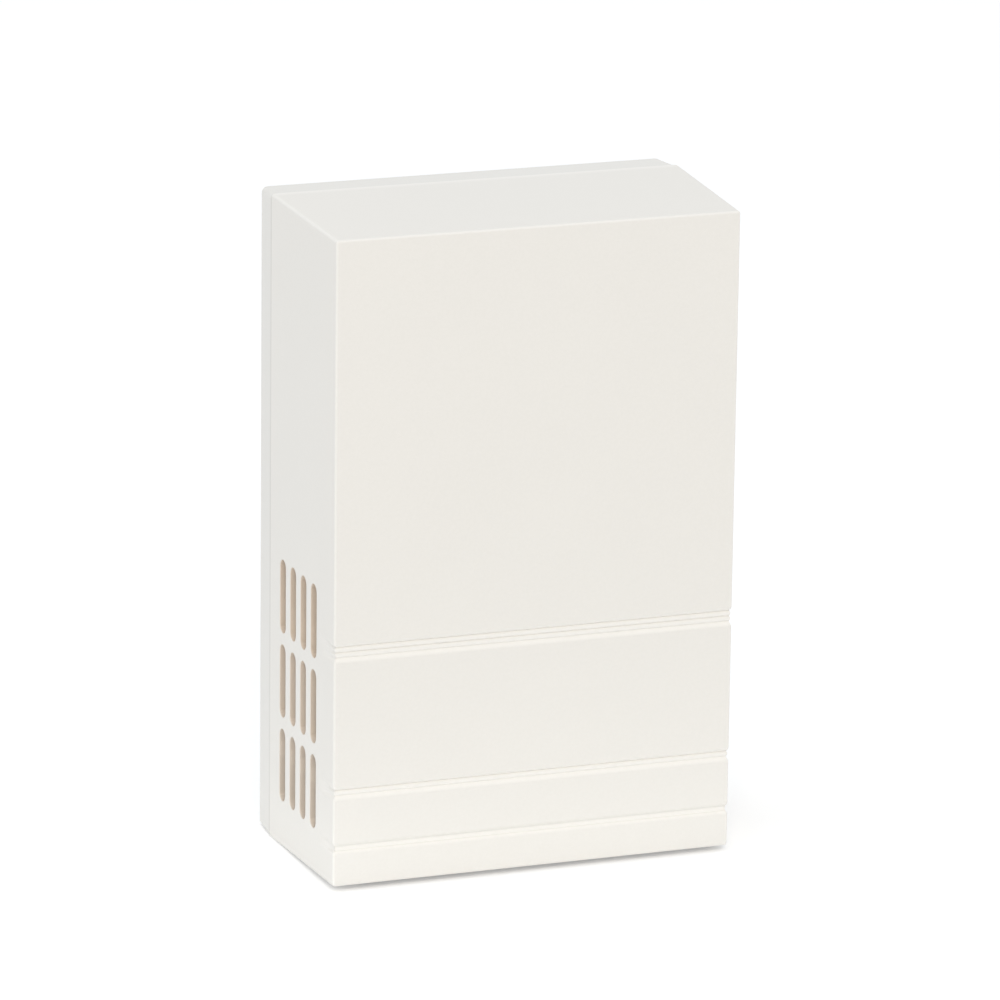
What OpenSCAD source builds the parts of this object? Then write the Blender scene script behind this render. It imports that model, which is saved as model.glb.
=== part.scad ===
// Two-tone wired door chime. X runs to the right, Z up, and the wall is the plane y = 0.
// The front faces -Y. The middle of the back of the base is the origin.

/* [Cover] */
// Width of the cover at its open back edge
cover_w = 86.3; // [84:0.1:100]
// Height of the cover at its open back edge
cover_h = 134; // [130:1:160]
// Depth of the cover from its back edge to its front face
cover_d = 36.7; // [35:0.1:48]
// Thickness of the cover's four sides
cover_wall = 2; // [1.6:0.1:2.4]
// Thickness of the cover's front
front_wall = 2.2; // [1.8:0.1:2.6]
// Draft of the cover's four sides, in degrees
cover_draft = 1.7; // [0.6:0.05:2.2]
// Radius of the cover's front edges
edge_r = 0.5; // [0.3:0.1:1.2]
// Width of the two keys that centre the cover on the base
key_w = 12; // [8:1:20]

/* [Front grooves] */
// Depth of the grooves below the front face
groove_depth = 0.6; // [0.4:0.05:1]
// Height from one notch of a groove to the next
notch_pitch = 1.1; // [0.9:0.05:1.3]
// Height of the panels' round edges along the grooves
groove_lip = 0.9; // [0.6:0.05:1.2]
// How far the ribs in a groove stay below the front face
rib_drop = 0.22; // [0.1:0.02:0.3]
// Width of the flat floor of the lowest groove
floor_groove_w = 0.9; // [0.5:0.1:1.5]
// Height of the upper groove above the cover's bottom
upper_groove_z = 49.5; // [40:0.1:60]
// Height of the middle groove above the cover's bottom
middle_groove_z = 20.5; // [17:0.1:30]
// Height of the lowest groove above the cover's bottom
lower_groove_z = 8.9; // [6:0.1:12]
// How far the grooves run back along the sides until they fade out
groove_run = 8; // [5:0.5:10]

/* [Sound slots] */
// Width of a sound slot
slot_w = 3.3; // [2:0.1:4]
// Length of a sound slot
slot_l = 15.2; // [10:0.1:17]
// Distance between two columns of slots
slot_pitch = 5.9; // [5:0.1:7]
// Distance between two rows of slots
slot_row_pitch = 17.7; // [17.2:0.1:20]
// Columns of slots in each side
slot_columns = 4; // [1:1:4]
// Rows of slots in each side
slot_rows = 3; // [1:1:5]
// Distance of the first column from the cover's back edge
slot_back = 7.2; // [6.8:0.1:10]
// Height of the lowest row's lower ends above the cover's bottom
slot_rise = 9.9; // [7:0.1:16]

/* [Base] */
// Depth of the base from the wall to the cover's edge
base_t = 8.3; // [6:0.1:10]
// Thickness of the base's floor
base_floor = 2; // [1.6:0.1:2.6]
// How much the base's back edge is set in at the left and right
base_side_in = 0.65; // [0.4:0.05:1.6]
// How much the base's back edge is set in at the top and bottom
base_end_in = 0.5; // [0.4:0.1:1.6]
// How much the base is set in where it meets the cover
base_step = 0.15; // [0.1:0.05:0.4]
// Height of the lip that the cover slips over
lip_h = 3; // [2:0.1:4]
// Thickness of the lip
lip_t = 1.4; // [1:0.1:2]
// Radius of the wall screw holes
wall_hole_r = 2.25; // [1.75:0.05:2.75]
// Distance between the two wall screw holes
wall_hole_spacing = 44; // [36:0.5:46]
// Distance of the wall screw holes from the top
wall_hole_drop = 17; // [15:0.5:18]
// Radius of the cable entry
cable_r = 6; // [4:0.1:7]
// Height of the cable entry above the bottom
cable_rise = 12; // [11:0.1:13]

/* [Tone bars] */
// Length of the low note's bar
low_bar_l = 104; // [96:0.5:108]
// Length of the high note's bar
high_bar_l = 92; // [84:0.5:96]
// Width of both bars
bar_w = 22; // [18:0.5:24]
// Thickness of both bars
bar_t = 2.5; // [2:0.1:3]
// Gap between the low bar's upper end and the top of the cover
bar_top_gap = 7; // [5:0.1:9]
// Gap between the bars and the cover's sides
bar_side_gap = 3.6; // [3.2:0.1:4]
// Radius of the shank of the pegs that hang the bars
peg_r = 1.6; // [1.2:0.1:2]
// Thickness of the uprights that take the pegs
upright_t = 2; // [1.6:0.1:3]

/* [Solenoid] */
// Distance of the plunger's axis from the wall
axis_depth = 24.5; // [23:0.1:27]
// Length of the coil between the ends of its frame
coil_l = 28; // [26:0.5:30]
// Radius of the bobbin's flanges
flange_r = 11.5; // [10.5:0.1:12.5]
// Thickness of the bobbin's flanges
flange_t = 1.2; // [0.8:0.1:1.6]
// Thickness of the frame's steel
frame_t = 1.5; // [1:0.1:2]
// Width of the frame
frame_w = 20; // [16:0.5:21]
// Radius of the plunger
plunger_r = 4; // [3:0.1:4.4]
// Gap between the striker and the low bar at rest
low_gap = 1.6; // [1:0.1:2]
// Gap between the striker and the high bar at rest
high_gap = 8; // [7:0.1:9]
// Length of the high striker
tip_l = 6; // [4:0.1:7]
// Length of the low striker in front of its flange
low_nose_l = 4; // [3:0.1:5]

/* [Return spring] */
// Diameter of the spring's wire
spring_wire = 0.5; // [0.4:0.02:0.6]
// Number of curls of the spring
spring_turns = 5; // [3:1:6]

/* [Terminals] */
// Length of the terminal strip
strip_l = 20; // [18:0.1:22]
// Distance between the two poles
pole_pitch = 14; // [13.5:0.1:16]
// Height of the strip's lower end above the bottom
strip_rise = 20; // [19.5:0.1:22]
// Radius of the wire hole in the brass inserts
insert_bore_r = 1.7; // [1.4:0.05:1.9]
// Radius of the coil leads
lead_r = 0.8; // [0.6:0.05:0.9]

/* [Fasteners] */
// Radius of the shank of the small screws
screw_r = 1.45; // [1.2:0.05:1.6]
// Radius of the head of the small screws
screw_head_r = 2.8; // [2.4:0.05:3.2]
// Height of the head of the small screws
screw_head_h = 1.9; // [1.4:0.1:2.4]

/* [Clearances] */
// Gap between the cover's edge and the base
part_gap = 0.2; // [0.1:0.05:0.3]
// Gap between the lip and the inside of the cover
lip_gap = 0.15; // [0.1:0.05:0.3]
// Gap between pieces that are assembled and stay put
seat_gap = 0.05; // [0.03:0.01:0.1]
// Radial gap between the plunger and its sleeve
run_gap = 0.08; // [0.04:0.01:0.1]

/* [Hidden] */
$fn = 48;

// Colours
ivory = "#ECE9E1";
ivory_base = "#E6E4DE";
natural = "#E4DEC8";
steel = "#B9BCC0";
zinc = "#C9CCCE";
copper = "#B5643A";
tape_yellow = "#D9B23C";
brass_yellow = "#C9A24E";
rubber_grey = "#3A3B3D";
nylon_white = "#F1F0EA";
strip_white = "#DCDCD4";
lead_brown = "#6A3B22";
lead_blue = "#2F5D9E";

// Overlap that makes a cut pass cleanly through a face
cut = 1;
// Depth by which a rib, boss or upright is rooted in what carries it
root = 0.5;

// Cover: where its edges lie, measured off the wall
cover_back = base_t + part_gap;
cover_front = cover_back + cover_d;
// How much rounder the four upright corners are than the front's edges
corner_extra = 0.4;
corner_r = edge_r + corner_extra;
inner_corner_r = 0.8;
edge_steps = 6;
rib_steps = 8;
// Grooves: a rib is at most half round, and a panel's edge at most a quarter round
rib_h = min(groove_depth - rib_drop, notch_pitch / 2);
rib_arc_r = (notch_pitch ^ 2 / 4 + rib_h ^ 2) / (2 * rib_h);
lip_reach = max(groove_lip, groove_depth);
lip_arc_r = (lip_reach ^ 2 + groove_depth ^ 2) / (2 * groove_depth);
// How far each side has come in at a distance d from the cover's back edge
function drop(d) = tan(cover_draft) * d;
key_h = 1;
key_gap = 0.5;
stiffener_t = 1.2;
stiffener_h = 1.2;
stiffener_x = 20;
stiffener_end_gap = 24;

// Base: the lip follows the cover's inside at the lip's free end
lip_in = cover_wall + drop(lip_h) + lip_gap;
lip_w = cover_w - 2 * lip_in;
lip_tall = cover_h - 2 * lip_in;
tray_w = lip_w - 2 * lip_t;
tray_tall = lip_tall - 2 * lip_t;
// Radius of the base's two upper corners and of its two lower ones
base_corner_r = 1.2;
base_foot_r = 0.3;
base_chamfer = 0.15;
relief_depth = 0.7;
relief_w = 36;
relief_h = 24;
relief_r = 3;
wall_boss_r = 5.5;
wall_boss_h = 1.2;
wall_hole_y = cover_h / 2 - wall_hole_drop;
cable_y = -cover_h / 2 + cable_rise;
cable_rim_t = 1.4;
cable_rim_h = 1.5;

// Tone bars: the bars' outer faces keep their gap from the cover's sides at the bars' front edges
axis_y = cover_h / 2 - bar_top_gap - low_bar_l / 2;
bar_out_x = cover_w / 2 - cover_wall - drop(axis_depth + bar_w / 2 - cover_back) - bar_side_gap;
bar_in_x = bar_out_x - bar_t;
// A free bar's still points lie this share of its length from each end
still_share = 0.224;
function still_offset(l) = (0.5 - still_share) * l;
bar_chamfer = 1.5;
grommet_wall = 1.6;
grommet_hole_r = peg_r + seat_gap;
grommet_neck_r = grommet_hole_r + grommet_wall;
bar_hole_r = grommet_neck_r + seat_gap;
grommet_flange_r = grommet_neck_r + 1.7;
grommet_flange_t = 1;
upright_out_x = bar_in_x - seat_gap * 2 - grommet_flange_t;
upright_w = 9;
peg_head_r = 3.6;
peg_head_h = 1.2;
peg_tail = 2;
peg_barb_r = peg_r + 0.3;
peg_barb_l = 1.2;
gusset_t = 1.6;
gusset_l = 7;
gusset_top = 0.72;

// Solenoid along its axis, from the right-hand bar inwards
nose_high_x = bar_in_x - high_gap;
nose_low_x = -bar_in_x + low_gap;
frame_stick = 0.6;
frame_right = nose_high_x - tip_l - frame_stick;
frame_left = frame_right - coil_l - 2 * frame_t;
frame_mid = (frame_left + frame_right) / 2;
sleeve_in_r = plunger_r + run_gap;
sleeve_wall = 0.5;
sleeve_r = sleeve_in_r + sleeve_wall;
sleeve_stick = 1.2;
bobbin_bore_r = sleeve_r + seat_gap;
bobbin_wall = 0.9;
bobbin_tube_r = bobbin_bore_r + bobbin_wall;
bobbin_l = coil_l - 2 * seat_gap;
frame_hole_r = sleeve_r + seat_gap;
frame_coil_gap = 0.3;
frame_back = axis_depth - flange_r - frame_coil_gap - frame_t;
frame_top = 9;
frame_corner_r = 3;
lug_w = 12;
lug_reach = 8.5;
lug_hole_y = frame_w / 2 + 4.5;
tape_t = 0.3;
winding_r = flange_r - 1.3;
tape_margin = 1.5;
tab_w = 9;
tab_h = 3;
tab_t = 2.4;
tab_in = 0.7;
pin_r = 0.45;
pin_seat = 2.5;
pin_l = 4;
pin_spread = 2.5;

// Plunger and spring
spigot_r = plunger_r / 2;
spigot_l = 3;
tip_r = plunger_r - 0.2;
tip_round = 1.6;
spring_r = sleeve_r + 0.55 + spring_wire / 2;
seat_flange_r = spring_r + spring_wire / 2 + 0.6;
seat_flange_t = 1.6;
seat_x = nose_low_x + low_nose_l + seat_flange_t;
spring_l = frame_left - seat_x - 2 * seat_gap;
spring_rings = 8;
spring_sides = 6;

// Terminals
strip_y = -cover_h / 2 + strip_rise + strip_l / 2;
strip_seat = 1;
insert_wall = 1;
insert_r = insert_bore_r + insert_wall;
insert_end = 1.5;
barrel_wall = 1.5;
barrel_r = insert_r + seat_gap + barrel_wall;
pole_depth = base_floor + strip_seat + barrel_r;
tower_r = 3.3;
tower_top = 13.5;
tower_y = strip_l / 4 + 0.5;
clamp_head_r = 2.1;
clamp_head_h = 2.4;
clamp_r = 1.3;
web_t = 3;
web_lift = 0.3;
fix_boss_r = 2.4;
lead_depth = pole_depth - insert_bore_r + lead_r + seat_gap;
lead_in = 7;
// Gap between a solder pin's end and its lead
solder_gap = 0.3;
lead_sides = 8;
lead_steps = 2;
// Shares of the height from a pin to its pole: straight at each end, then up to the bend
lead_straight = 0.18;
lead_bend = 0.42;
// Share of the way across that a lead has covered at each bend
lead_turn = 0.2;
driver_slot_w = 0.7;
driver_slot_d = 0.9;

// Outline of a rectangle with rounded corners: r at the upper ones, foot_r at the lower ones
function rect_on_feet(w, h, r, foot_r, n = edge_steps) = [
  for (c = [0:3], i = [0:n])
    let (a = 90 * (c + i / n),
         sx = (c == 0 || c == 3) ? 1 : -1,
         sy = c < 2 ? 1 : -1,
         q = c < 2 ? r : foot_r)
    [sx * (w / 2 - q) + q * cos(a), sy * (h / 2 - q) + q * sin(a)]
];

// Outline of a rectangle with four equal rounded corners
function round_rect(w, h, r, n = edge_steps) = rect_on_feet(w, h, r, r, n);

// Outline of an upright slot with round ends
function obround(w, l, n = 12) = [
  for (c = [0:1], i = [0:n])
    let (a = 180 * (c + i / n), s = c == 0 ? 1 : -1)
    [w / 2 * cos(a), s * (l - w) / 2 + w / 2 * sin(a)]
];

// How far an arc that starts at a tangent has fallen away at a distance d
function arc_fall(r, d) = r - sqrt(r ^ 2 - d ^ 2);

// Depth of a groove at a height u from its middle: round ribs that meet in notches, and the panels' round edges
function groove_at(u, half, count) =
  let (v = abs(u), place = (u + half) / notch_pitch)
  v >= half + lip_reach ? 0 :
  v >= half ? arc_fall(lip_arc_r, half + lip_reach - v) :
  count == 1 ? groove_depth :
  rib_drop + arc_fall(rib_arc_r, notch_pitch * (place - floor(place) - 0.5));

// Half the height between a groove's outer notches
function groove_half(count) = count == 1 ? floor_groove_w / 2 : notch_pitch * (count - 1) / 2;

// Section of a groove: how deep it goes, against the height
function groove_section(count) =
  let (half = groove_half(count),
       lips = [for (i = [0:edge_steps]) half + lip_reach * (1 - i / edge_steps)],
       ribs = count == 1 ? [] : [for (i = [1:rib_steps * (count - 1) - 1]) -half + notch_pitch * i / rib_steps],
       heights = concat([for (u = lips) -u], ribs, [for (i = [edge_steps:-1:0]) lips[i]]))
  concat([[-cut, -half - lip_reach]],
         [for (u = heights) [groove_at(u, half, count), u]],
         [[-cut, half + lip_reach]]);

// Lays a drawing (x right, y up, z off the wall) against the wall
module hang() {
  rotate([90, 0, 0]) children();
}

// Turns a drawing in (up, off the wall) so that it is extruded along the width
module across() {
  rotate([90, 0, 90]) children();
}

// Puts a drawing on the plunger's axis, to be extruded or turned along the width from x
module on_axis(x) {
  translate([x, axis_y, axis_depth]) across() children();
}

// Solid through a stack of outlines, each given as its height and its points
module loft(rings) {
  m = len(rings[0][1]);
  k = len(rings);
  points = [for (ring = rings, p = ring[1]) [p[0], p[1], ring[0]]];
  sides = [for (i = [0:k - 2], j = [0:m - 1])
    let (a = i * m + j, b = i * m + (j + 1) % m)
    each [[a, b + m, b], [a, a + m, b + m]]];
  bottom = [for (j = [0:m - 1]) j];
  top = [for (j = [m - 1:-1:0]) (k - 1) * m + j];
  polyhedron(points, concat([bottom, top], sides), convexity = 4);
}

function unit(v) = v / norm(v);

// Direction of a path at one of its points
function heading(path, i) =
  unit(path[min(i + 1, len(path) - 1)] - path[max(i - 1, 0)]);

// Tube along a path, with one side direction given for each of its points
module tube(path, normals, r, sides) {
  k = len(path);
  points = [for (i = [0:k - 1])
    let (t = heading(path, i), b = unit(cross(t, normals[i])), n = cross(b, t))
    each [for (j = [0:sides - 1]) path[i] + r * (cos(360 * j / sides) * n + sin(360 * j / sides) * b)]];
  wall = [for (i = [0:k - 2], j = [0:sides - 1])
    let (a = i * sides + j, b = i * sides + (j + 1) % sides)
    each [[a, b + sides, b], [a, a + sides, b + sides]]];
  first = [for (j = [1:sides - 2]) [0, j, j + 1]];
  last = [for (j = [1:sides - 2]) (k - 1) * sides * [1, 1, 1] + [0, j + 1, j]];
  polyhedron(points, concat(first, last, wall), convexity = 8);
}

// Smooth run of points through a few chosen ones
function smooth(p, n) = [
  for (i = [0:len(p) - 2], s = [0:n - 1])
    let (t = s / n,
         a = p[max(i - 1, 0)], b = p[i], c = p[i + 1], d = p[min(i + 2, len(p) - 1)])
    0.5 * (2 * b + (c - a) * t + (2 * a - 5 * b + 4 * c - d) * t * t + (3 * b - a - 3 * c + d) * t * t * t),
  p[len(p) - 1]
];

// Screw that stands off the wall at z, its head's underside there and its shank running towards the wall
module small_screw(shank_l, r = screw_r, head_r = screw_head_r, head_h = screw_head_h) {
  difference() {
    union() {
      translate([0, 0, -shank_l]) cylinder(r = r, h = shank_l + root);
      cylinder(r = head_r, h = head_h);
    }
    translate([-head_r - cut, -driver_slot_w / 2, head_h - driver_slot_d])
      cube([2 * head_r + 2 * cut, driver_slot_w, driver_slot_d + cut]);
  }
}

module cover_outer() {
  loft(concat(
    [[cover_back, round_rect(cover_w, cover_h, corner_r)]],
    [for (i = [0:edge_steps])
      let (a = 90 * i / edge_steps,
           tuck = edge_r * (1 - cos(a)),
           inset = 2 * (drop(cover_d - edge_r) + tuck))
      [cover_front - edge_r + edge_r * sin(a),
       round_rect(cover_w - inset, cover_h - inset, corner_r - tuck)]]));
}

module cover_cavity() {
  loft([for (z = [cover_back - cut, cover_front - front_wall])
    let (inset = 2 * (cover_wall + drop(z - cover_back)))
    [z, round_rect(cover_w - inset, cover_h - inset, inner_corner_r, 2)]]);
}

// Room in which a groove is cut into a side: as deep as the groove at the front, and nothing where it runs out
module groove_runout() {
  front_x = cover_w / 2 - drop(cover_d);
  end_x = front_x + drop(groove_run);
  lean = (end_x - front_x + groove_depth) / groove_run;
  reach = cover_w / 2 + cut;
  hang() linear_extrude(cover_h, center = true)
    polygon([[front_x - groove_depth - lean * cut, cut], [end_x, -groove_run],
             [reach, -groove_run], [reach, cut]]);
}

// One groove across the front that runs out along both sides, its notches first
module groove(height, count) {
  front_x = cover_w / 2 - drop(cover_d);
  translate([0, height - cover_h / 2, cover_front]) {
    translate([-cover_w / 2, 0, 0]) rotate([0, 90, 0])
      linear_extrude(cover_w) polygon(groove_section(count));
    for (s = [0, 1]) mirror([s, 0, 0])
      intersection() {
        translate([front_x, 0, 0]) rotate([0, 180 - cover_draft, 0]) translate([0, 0, -cut])
          linear_extrude(groove_run + 2 * cut) polygon(groove_section(count));
        groove_runout();
      }
  }
}

module sound_slots() {
  for (c = [0:slot_columns - 1], r = [0:slot_rows - 1])
    translate([-cover_w / 2 - cut,
               -cover_h / 2 + slot_rise + slot_l / 2 + slot_row_pitch * r,
               cover_back + slot_back + slot_pitch * c])
      across() linear_extrude(cover_w + 2 * cut)
        polygon([for (p = obround(slot_w, slot_l)) [p[1], p[0]]]);
}

// Keys at the top and bottom of the cover that drop into the lip's gaps
module cover_keys() {
  for (s = [0, 1]) mirror([0, s, 0])
    translate([-key_w / 2, cover_h / 2 - cover_wall - drop(lip_h) - key_h, cover_back + key_gap])
      cube([key_w, key_h + root, lip_h - key_gap]);
}

module cover_stiffeners() {
  for (s = [-1, 1])
    translate([s * stiffener_x - stiffener_t / 2, -cover_h / 2 + stiffener_end_gap,
               cover_front - front_wall - stiffener_h])
      cube([stiffener_t, cover_h - 2 * stiffener_end_gap, stiffener_h + root]);
}

module front_cover() {
  color(ivory) hang() difference() {
    union() {
      difference() {
        cover_outer();
        cover_cavity();
      }
      cover_keys();
      cover_stiffeners();
    }
    groove(upper_groove_z, 3);
    groove(middle_groove_z, 2);
    groove(lower_groove_z, 1);
    sound_slots();
  }
}

module base_block() {
  w = cover_w - 2 * base_side_in;
  h = cover_h - 2 * base_end_in;
  loft([
    [0, rect_on_feet(w - 2 * base_chamfer, h - 2 * base_chamfer, base_corner_r, base_foot_r)],
    [base_chamfer, rect_on_feet(w, h, base_corner_r, base_foot_r)],
    [base_t, rect_on_feet(cover_w - 2 * base_step, cover_h - 2 * base_step, base_corner_r, base_foot_r)]
  ]);
}

module base_lip() {
  difference() {
    translate([0, 0, base_t - root])
      linear_extrude(lip_h + part_gap + root) polygon(round_rect(lip_w, lip_tall, inner_corner_r, 2));
    for (s = [0, 1]) mirror([0, s, 0])
      translate([-key_w / 2 - key_gap, tray_tall / 2 - cut, base_t])
        cube([key_w + 2 * key_gap, lip_t + 2 * cut, lip_h + part_gap + cut]);
  }
}

// Upright with a round end that takes one peg, and the gusset that stiffens it
module upright(y, side) {
  mirror([side, 0, 0]) translate([0, y, 0]) {
    translate([upright_out_x - upright_t, 0, 0]) across() linear_extrude(upright_t)
      polygon(concat([[-upright_w / 2, base_floor - root], [upright_w / 2, base_floor - root]],
                     [for (i = [0:2 * edge_steps]) let (a = 90 * i / edge_steps)
                       [upright_w / 2 * cos(a), axis_depth + upright_w / 2 * sin(a)]]));
    translate([0, gusset_t / 2, 0]) rotate([90, 0, 0]) linear_extrude(gusset_t)
      polygon([[upright_out_x - upright_t + root, base_floor - root],
               [upright_out_x - upright_t + root, axis_depth * gusset_top],
               [upright_out_x - upright_t, axis_depth * gusset_top],
               [upright_out_x - upright_t - gusset_l, base_floor],
               [upright_out_x - upright_t - gusset_l, base_floor - root]]);
  }
}

// Heights of the four pegs, with the side each is on: 1 for the low bar, 0 for the high bar
pegs = [[axis_y + still_offset(low_bar_l), 1], [axis_y - still_offset(low_bar_l), 1],
        [axis_y + still_offset(high_bar_l), 0], [axis_y - still_offset(high_bar_l), 0]];

module base_plate() {
  color(ivory_base) hang() difference() {
    union() {
      difference() {
        union() {
          base_block();
          base_lip();
        }
        translate([0, 0, base_floor]) linear_extrude(base_t + lip_h + cut)
          polygon(round_rect(tray_w, tray_tall, inner_corner_r, 2));
      }
      for (p = pegs) upright(p[0], p[1]);
      for (s = [-1, 1]) {
        translate([frame_mid, axis_y + s * lug_hole_y, base_floor - root])
          cylinder(r = screw_r + 2, h = frame_back - seat_gap - base_floor + root);
        translate([s * wall_hole_spacing / 2, wall_hole_y, base_floor - root])
          cylinder(r = wall_boss_r, h = wall_boss_h + root);
        translate([-pole_pitch / 2 - barrel_r, strip_y + s * strip_l / 3 - stiffener_t / 2, base_floor - root])
          cube([pole_pitch + 2 * barrel_r, stiffener_t, strip_seat + root - seat_gap]);
      }
      translate([0, strip_y, base_floor - root])
        cylinder(r = fix_boss_r, h = strip_seat + web_lift + root - seat_gap);
      translate([0, cable_y, base_floor - root]) cylinder(r = cable_r + cable_rim_t, h = cable_rim_h + root);
    }
    for (s = [-1, 1]) {
      translate([s * wall_hole_spacing / 2, wall_hole_y, -cut])
        cylinder(r = wall_hole_r, h = base_floor + wall_boss_h + 2 * cut);
      translate([frame_mid, axis_y + s * lug_hole_y, base_floor])
        cylinder(r = screw_r + seat_gap, h = frame_back);
      translate([0, s * cover_h / 4, -cut]) linear_extrude(relief_depth + cut)
        polygon(round_rect(relief_w, relief_h, relief_r));
    }
    translate([0, strip_y, relief_depth + 2 * seat_gap])
      cylinder(r = screw_r + seat_gap, h = base_floor + strip_seat + web_lift);
    translate([0, cable_y, -cut]) cylinder(r = cable_r, h = base_floor + cable_rim_h + 2 * cut);
    for (p = pegs) mirror([p[1], 0, 0])
      translate([upright_out_x - upright_t - cut, p[0], axis_depth]) across()
        cylinder(r = peg_r + seat_gap, h = upright_t + 2 * cut);
  }
}

// Flat bar on edge with chamfered corners and a hole at each still point
module tone_bar(l, side) {
  mirror([side, 0, 0]) on_axis(bar_in_x) difference() {
    linear_extrude(bar_t) polygon(round_rect(l, bar_w, bar_chamfer, 1));
    for (s = [-1, 1]) translate([s * still_offset(l), 0, -cut]) cylinder(r = bar_hole_r, h = bar_t + 2 * cut);
  }
}

module bar_grommets(l, side) {
  for (s = [-1, 1])
    mirror([side, 0, 0]) on_axis(bar_in_x) translate([s * still_offset(l), 0, 0]) rotate_extrude()
      polygon([[grommet_hole_r, -grommet_flange_t - seat_gap],
               [grommet_flange_r, -grommet_flange_t - seat_gap],
               [grommet_flange_r, -seat_gap],
               [grommet_neck_r, -seat_gap],
               [grommet_neck_r, bar_t + seat_gap],
               [grommet_flange_r, bar_t + seat_gap],
               [grommet_flange_r, bar_t + seat_gap + grommet_flange_t],
               [grommet_hole_r, bar_t + seat_gap + grommet_flange_t]]);
}

// Push-in pegs: head outside the bar, barb behind the upright
module bar_pegs(l, side) {
  head = bar_t + 2 * seat_gap + grommet_flange_t;
  tail = upright_out_x - upright_t - bar_in_x - seat_gap;
  for (s = [-1, 1])
    mirror([side, 0, 0]) on_axis(bar_in_x) translate([s * still_offset(l), 0, 0]) rotate_extrude()
      polygon([[0, head + peg_head_h],
               [peg_head_r * 0.7, head + peg_head_h],
               [peg_head_r, head + peg_head_h * 0.6],
               [peg_head_r, head],
               [peg_r, head],
               [peg_r, tail],
               [peg_barb_r, tail],
               [peg_r * 0.6, tail - peg_tail],
               [0, tail - peg_tail]]);
}

module low_tone_bar() {
  color(steel) hang() tone_bar(low_bar_l, 1);
}

module high_tone_bar() {
  color(steel) hang() tone_bar(high_bar_l, 0);
}

module low_bar_grommets() {
  color(rubber_grey) hang() bar_grommets(low_bar_l, 1);
}

module high_bar_grommets() {
  color(rubber_grey) hang() bar_grommets(high_bar_l, 0);
}

module low_bar_pegs() {
  color(nylon_white) hang() bar_pegs(low_bar_l, 1);
}

module high_bar_pegs() {
  color(nylon_white) hang() bar_pegs(high_bar_l, 0);
}

// U-shaped yoke: a back strip with two lugs, and an end at each side of the coil
module solenoid_frame() {
  back = frame_back - axis_depth;
  color(zinc) hang() on_axis(frame_left) difference() {
    union() {
      translate([-frame_w / 2, back, 0]) cube([frame_w, frame_t, 2 * frame_t + coil_l]);
      translate([-frame_w / 2 - lug_reach, back, frame_t + coil_l / 2 - lug_w / 2])
        cube([frame_w + 2 * lug_reach, frame_t, lug_w]);
      for (z = [0, frame_t + coil_l]) translate([0, 0, z]) linear_extrude(frame_t) frame_end();
    }
    translate([0, 0, -cut]) cylinder(r = frame_hole_r, h = coil_l + 2 * frame_t + 2 * cut);
    for (s = [-1, 1]) translate([s * lug_hole_y, back + frame_t + cut, frame_t + coil_l / 2])
      rotate([90, 0, 0]) cylinder(r = screw_r + 2 * seat_gap, h = frame_t + 2 * cut);
  }
}

module frame_end() {
  back = frame_back - axis_depth;
  polygon([[-frame_w / 2, back],
           [frame_w / 2, back],
           [frame_w / 2, frame_top - frame_corner_r],
           [frame_w / 2 - frame_corner_r, frame_top],
           [-frame_w / 2 + frame_corner_r, frame_top],
           [-frame_w / 2, frame_top - frame_corner_r]]);
}

module coil_bobbin() {
  color(natural) hang() on_axis(frame_left + frame_t + seat_gap) difference() {
    union() {
      cylinder(r = bobbin_tube_r, h = bobbin_l);
      cylinder(r = flange_r, h = flange_t);
      translate([0, 0, bobbin_l - flange_t]) cylinder(r = flange_r, h = flange_t);
      translate([-flange_r - tab_h, -tab_w / 2, bobbin_l - tab_t]) cube([tab_h + tab_in, tab_w, tab_t]);
    }
    translate([0, 0, -cut]) cylinder(r = bobbin_bore_r, h = bobbin_l + 2 * cut);
    for (s = [-1, 1]) translate([-flange_r - tab_h - cut, s * pin_spread, bobbin_l - tab_t / 2])
      rotate([0, 90, 0]) cylinder(r = pin_r + seat_gap, h = pin_seat + cut, $fn = 24);
  }
}

module bobbin_pins() {
  color(zinc) hang() on_axis(frame_left + frame_t + seat_gap)
    for (s = [-1, 1])
      translate([-flange_r - tab_h - pin_l, s * pin_spread, bobbin_l - tab_t / 2])
        rotate([0, 90, 0]) cylinder(r = pin_r, h = pin_l + pin_seat - seat_gap, $fn = 24);
}

module coil_winding() {
  color(copper) hang() on_axis(frame_left + frame_t + seat_gap) rotate_extrude()
    translate([bobbin_tube_r + seat_gap, flange_t + seat_gap])
      square([winding_r - bobbin_tube_r - seat_gap, bobbin_l - 2 * flange_t - 2 * seat_gap]);
}

module coil_tape() {
  color(tape_yellow) hang() on_axis(frame_left + frame_t + seat_gap) rotate_extrude()
    translate([winding_r + seat_gap, flange_t + tape_margin])
      square([tape_t, bobbin_l - 2 * flange_t - 2 * tape_margin]);
}

module guide_sleeve() {
  color(brass_yellow) hang() on_axis(frame_left - sleeve_stick) difference() {
    cylinder(r = sleeve_r, h = coil_l + 2 * frame_t + 2 * sleeve_stick);
    translate([0, 0, -cut]) cylinder(r = sleeve_in_r, h = coil_l + 2 * frame_t + 2 * sleeve_stick + 2 * cut);
  }
}

module frame_screws() {
  color(zinc) hang() for (s = [-1, 1])
    translate([frame_mid, axis_y + s * lug_hole_y, frame_back + frame_t + seat_gap])
      small_screw(frame_back + frame_t - base_floor - seat_gap);
}

module plunger_core() {
  core_l = nose_high_x - tip_l - seat_x;
  color(steel) hang() on_axis(seat_x) union() {
    cylinder(r = plunger_r, h = core_l);
    translate([0, 0, -spigot_l]) cylinder(r = spigot_r, h = core_l + 2 * spigot_l);
  }
}

// Blind hole that takes one of the plunger's spigots
module spigot_hole() {
  cylinder(r = spigot_r + seat_gap, h = spigot_l + seat_gap + cut);
}

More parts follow.
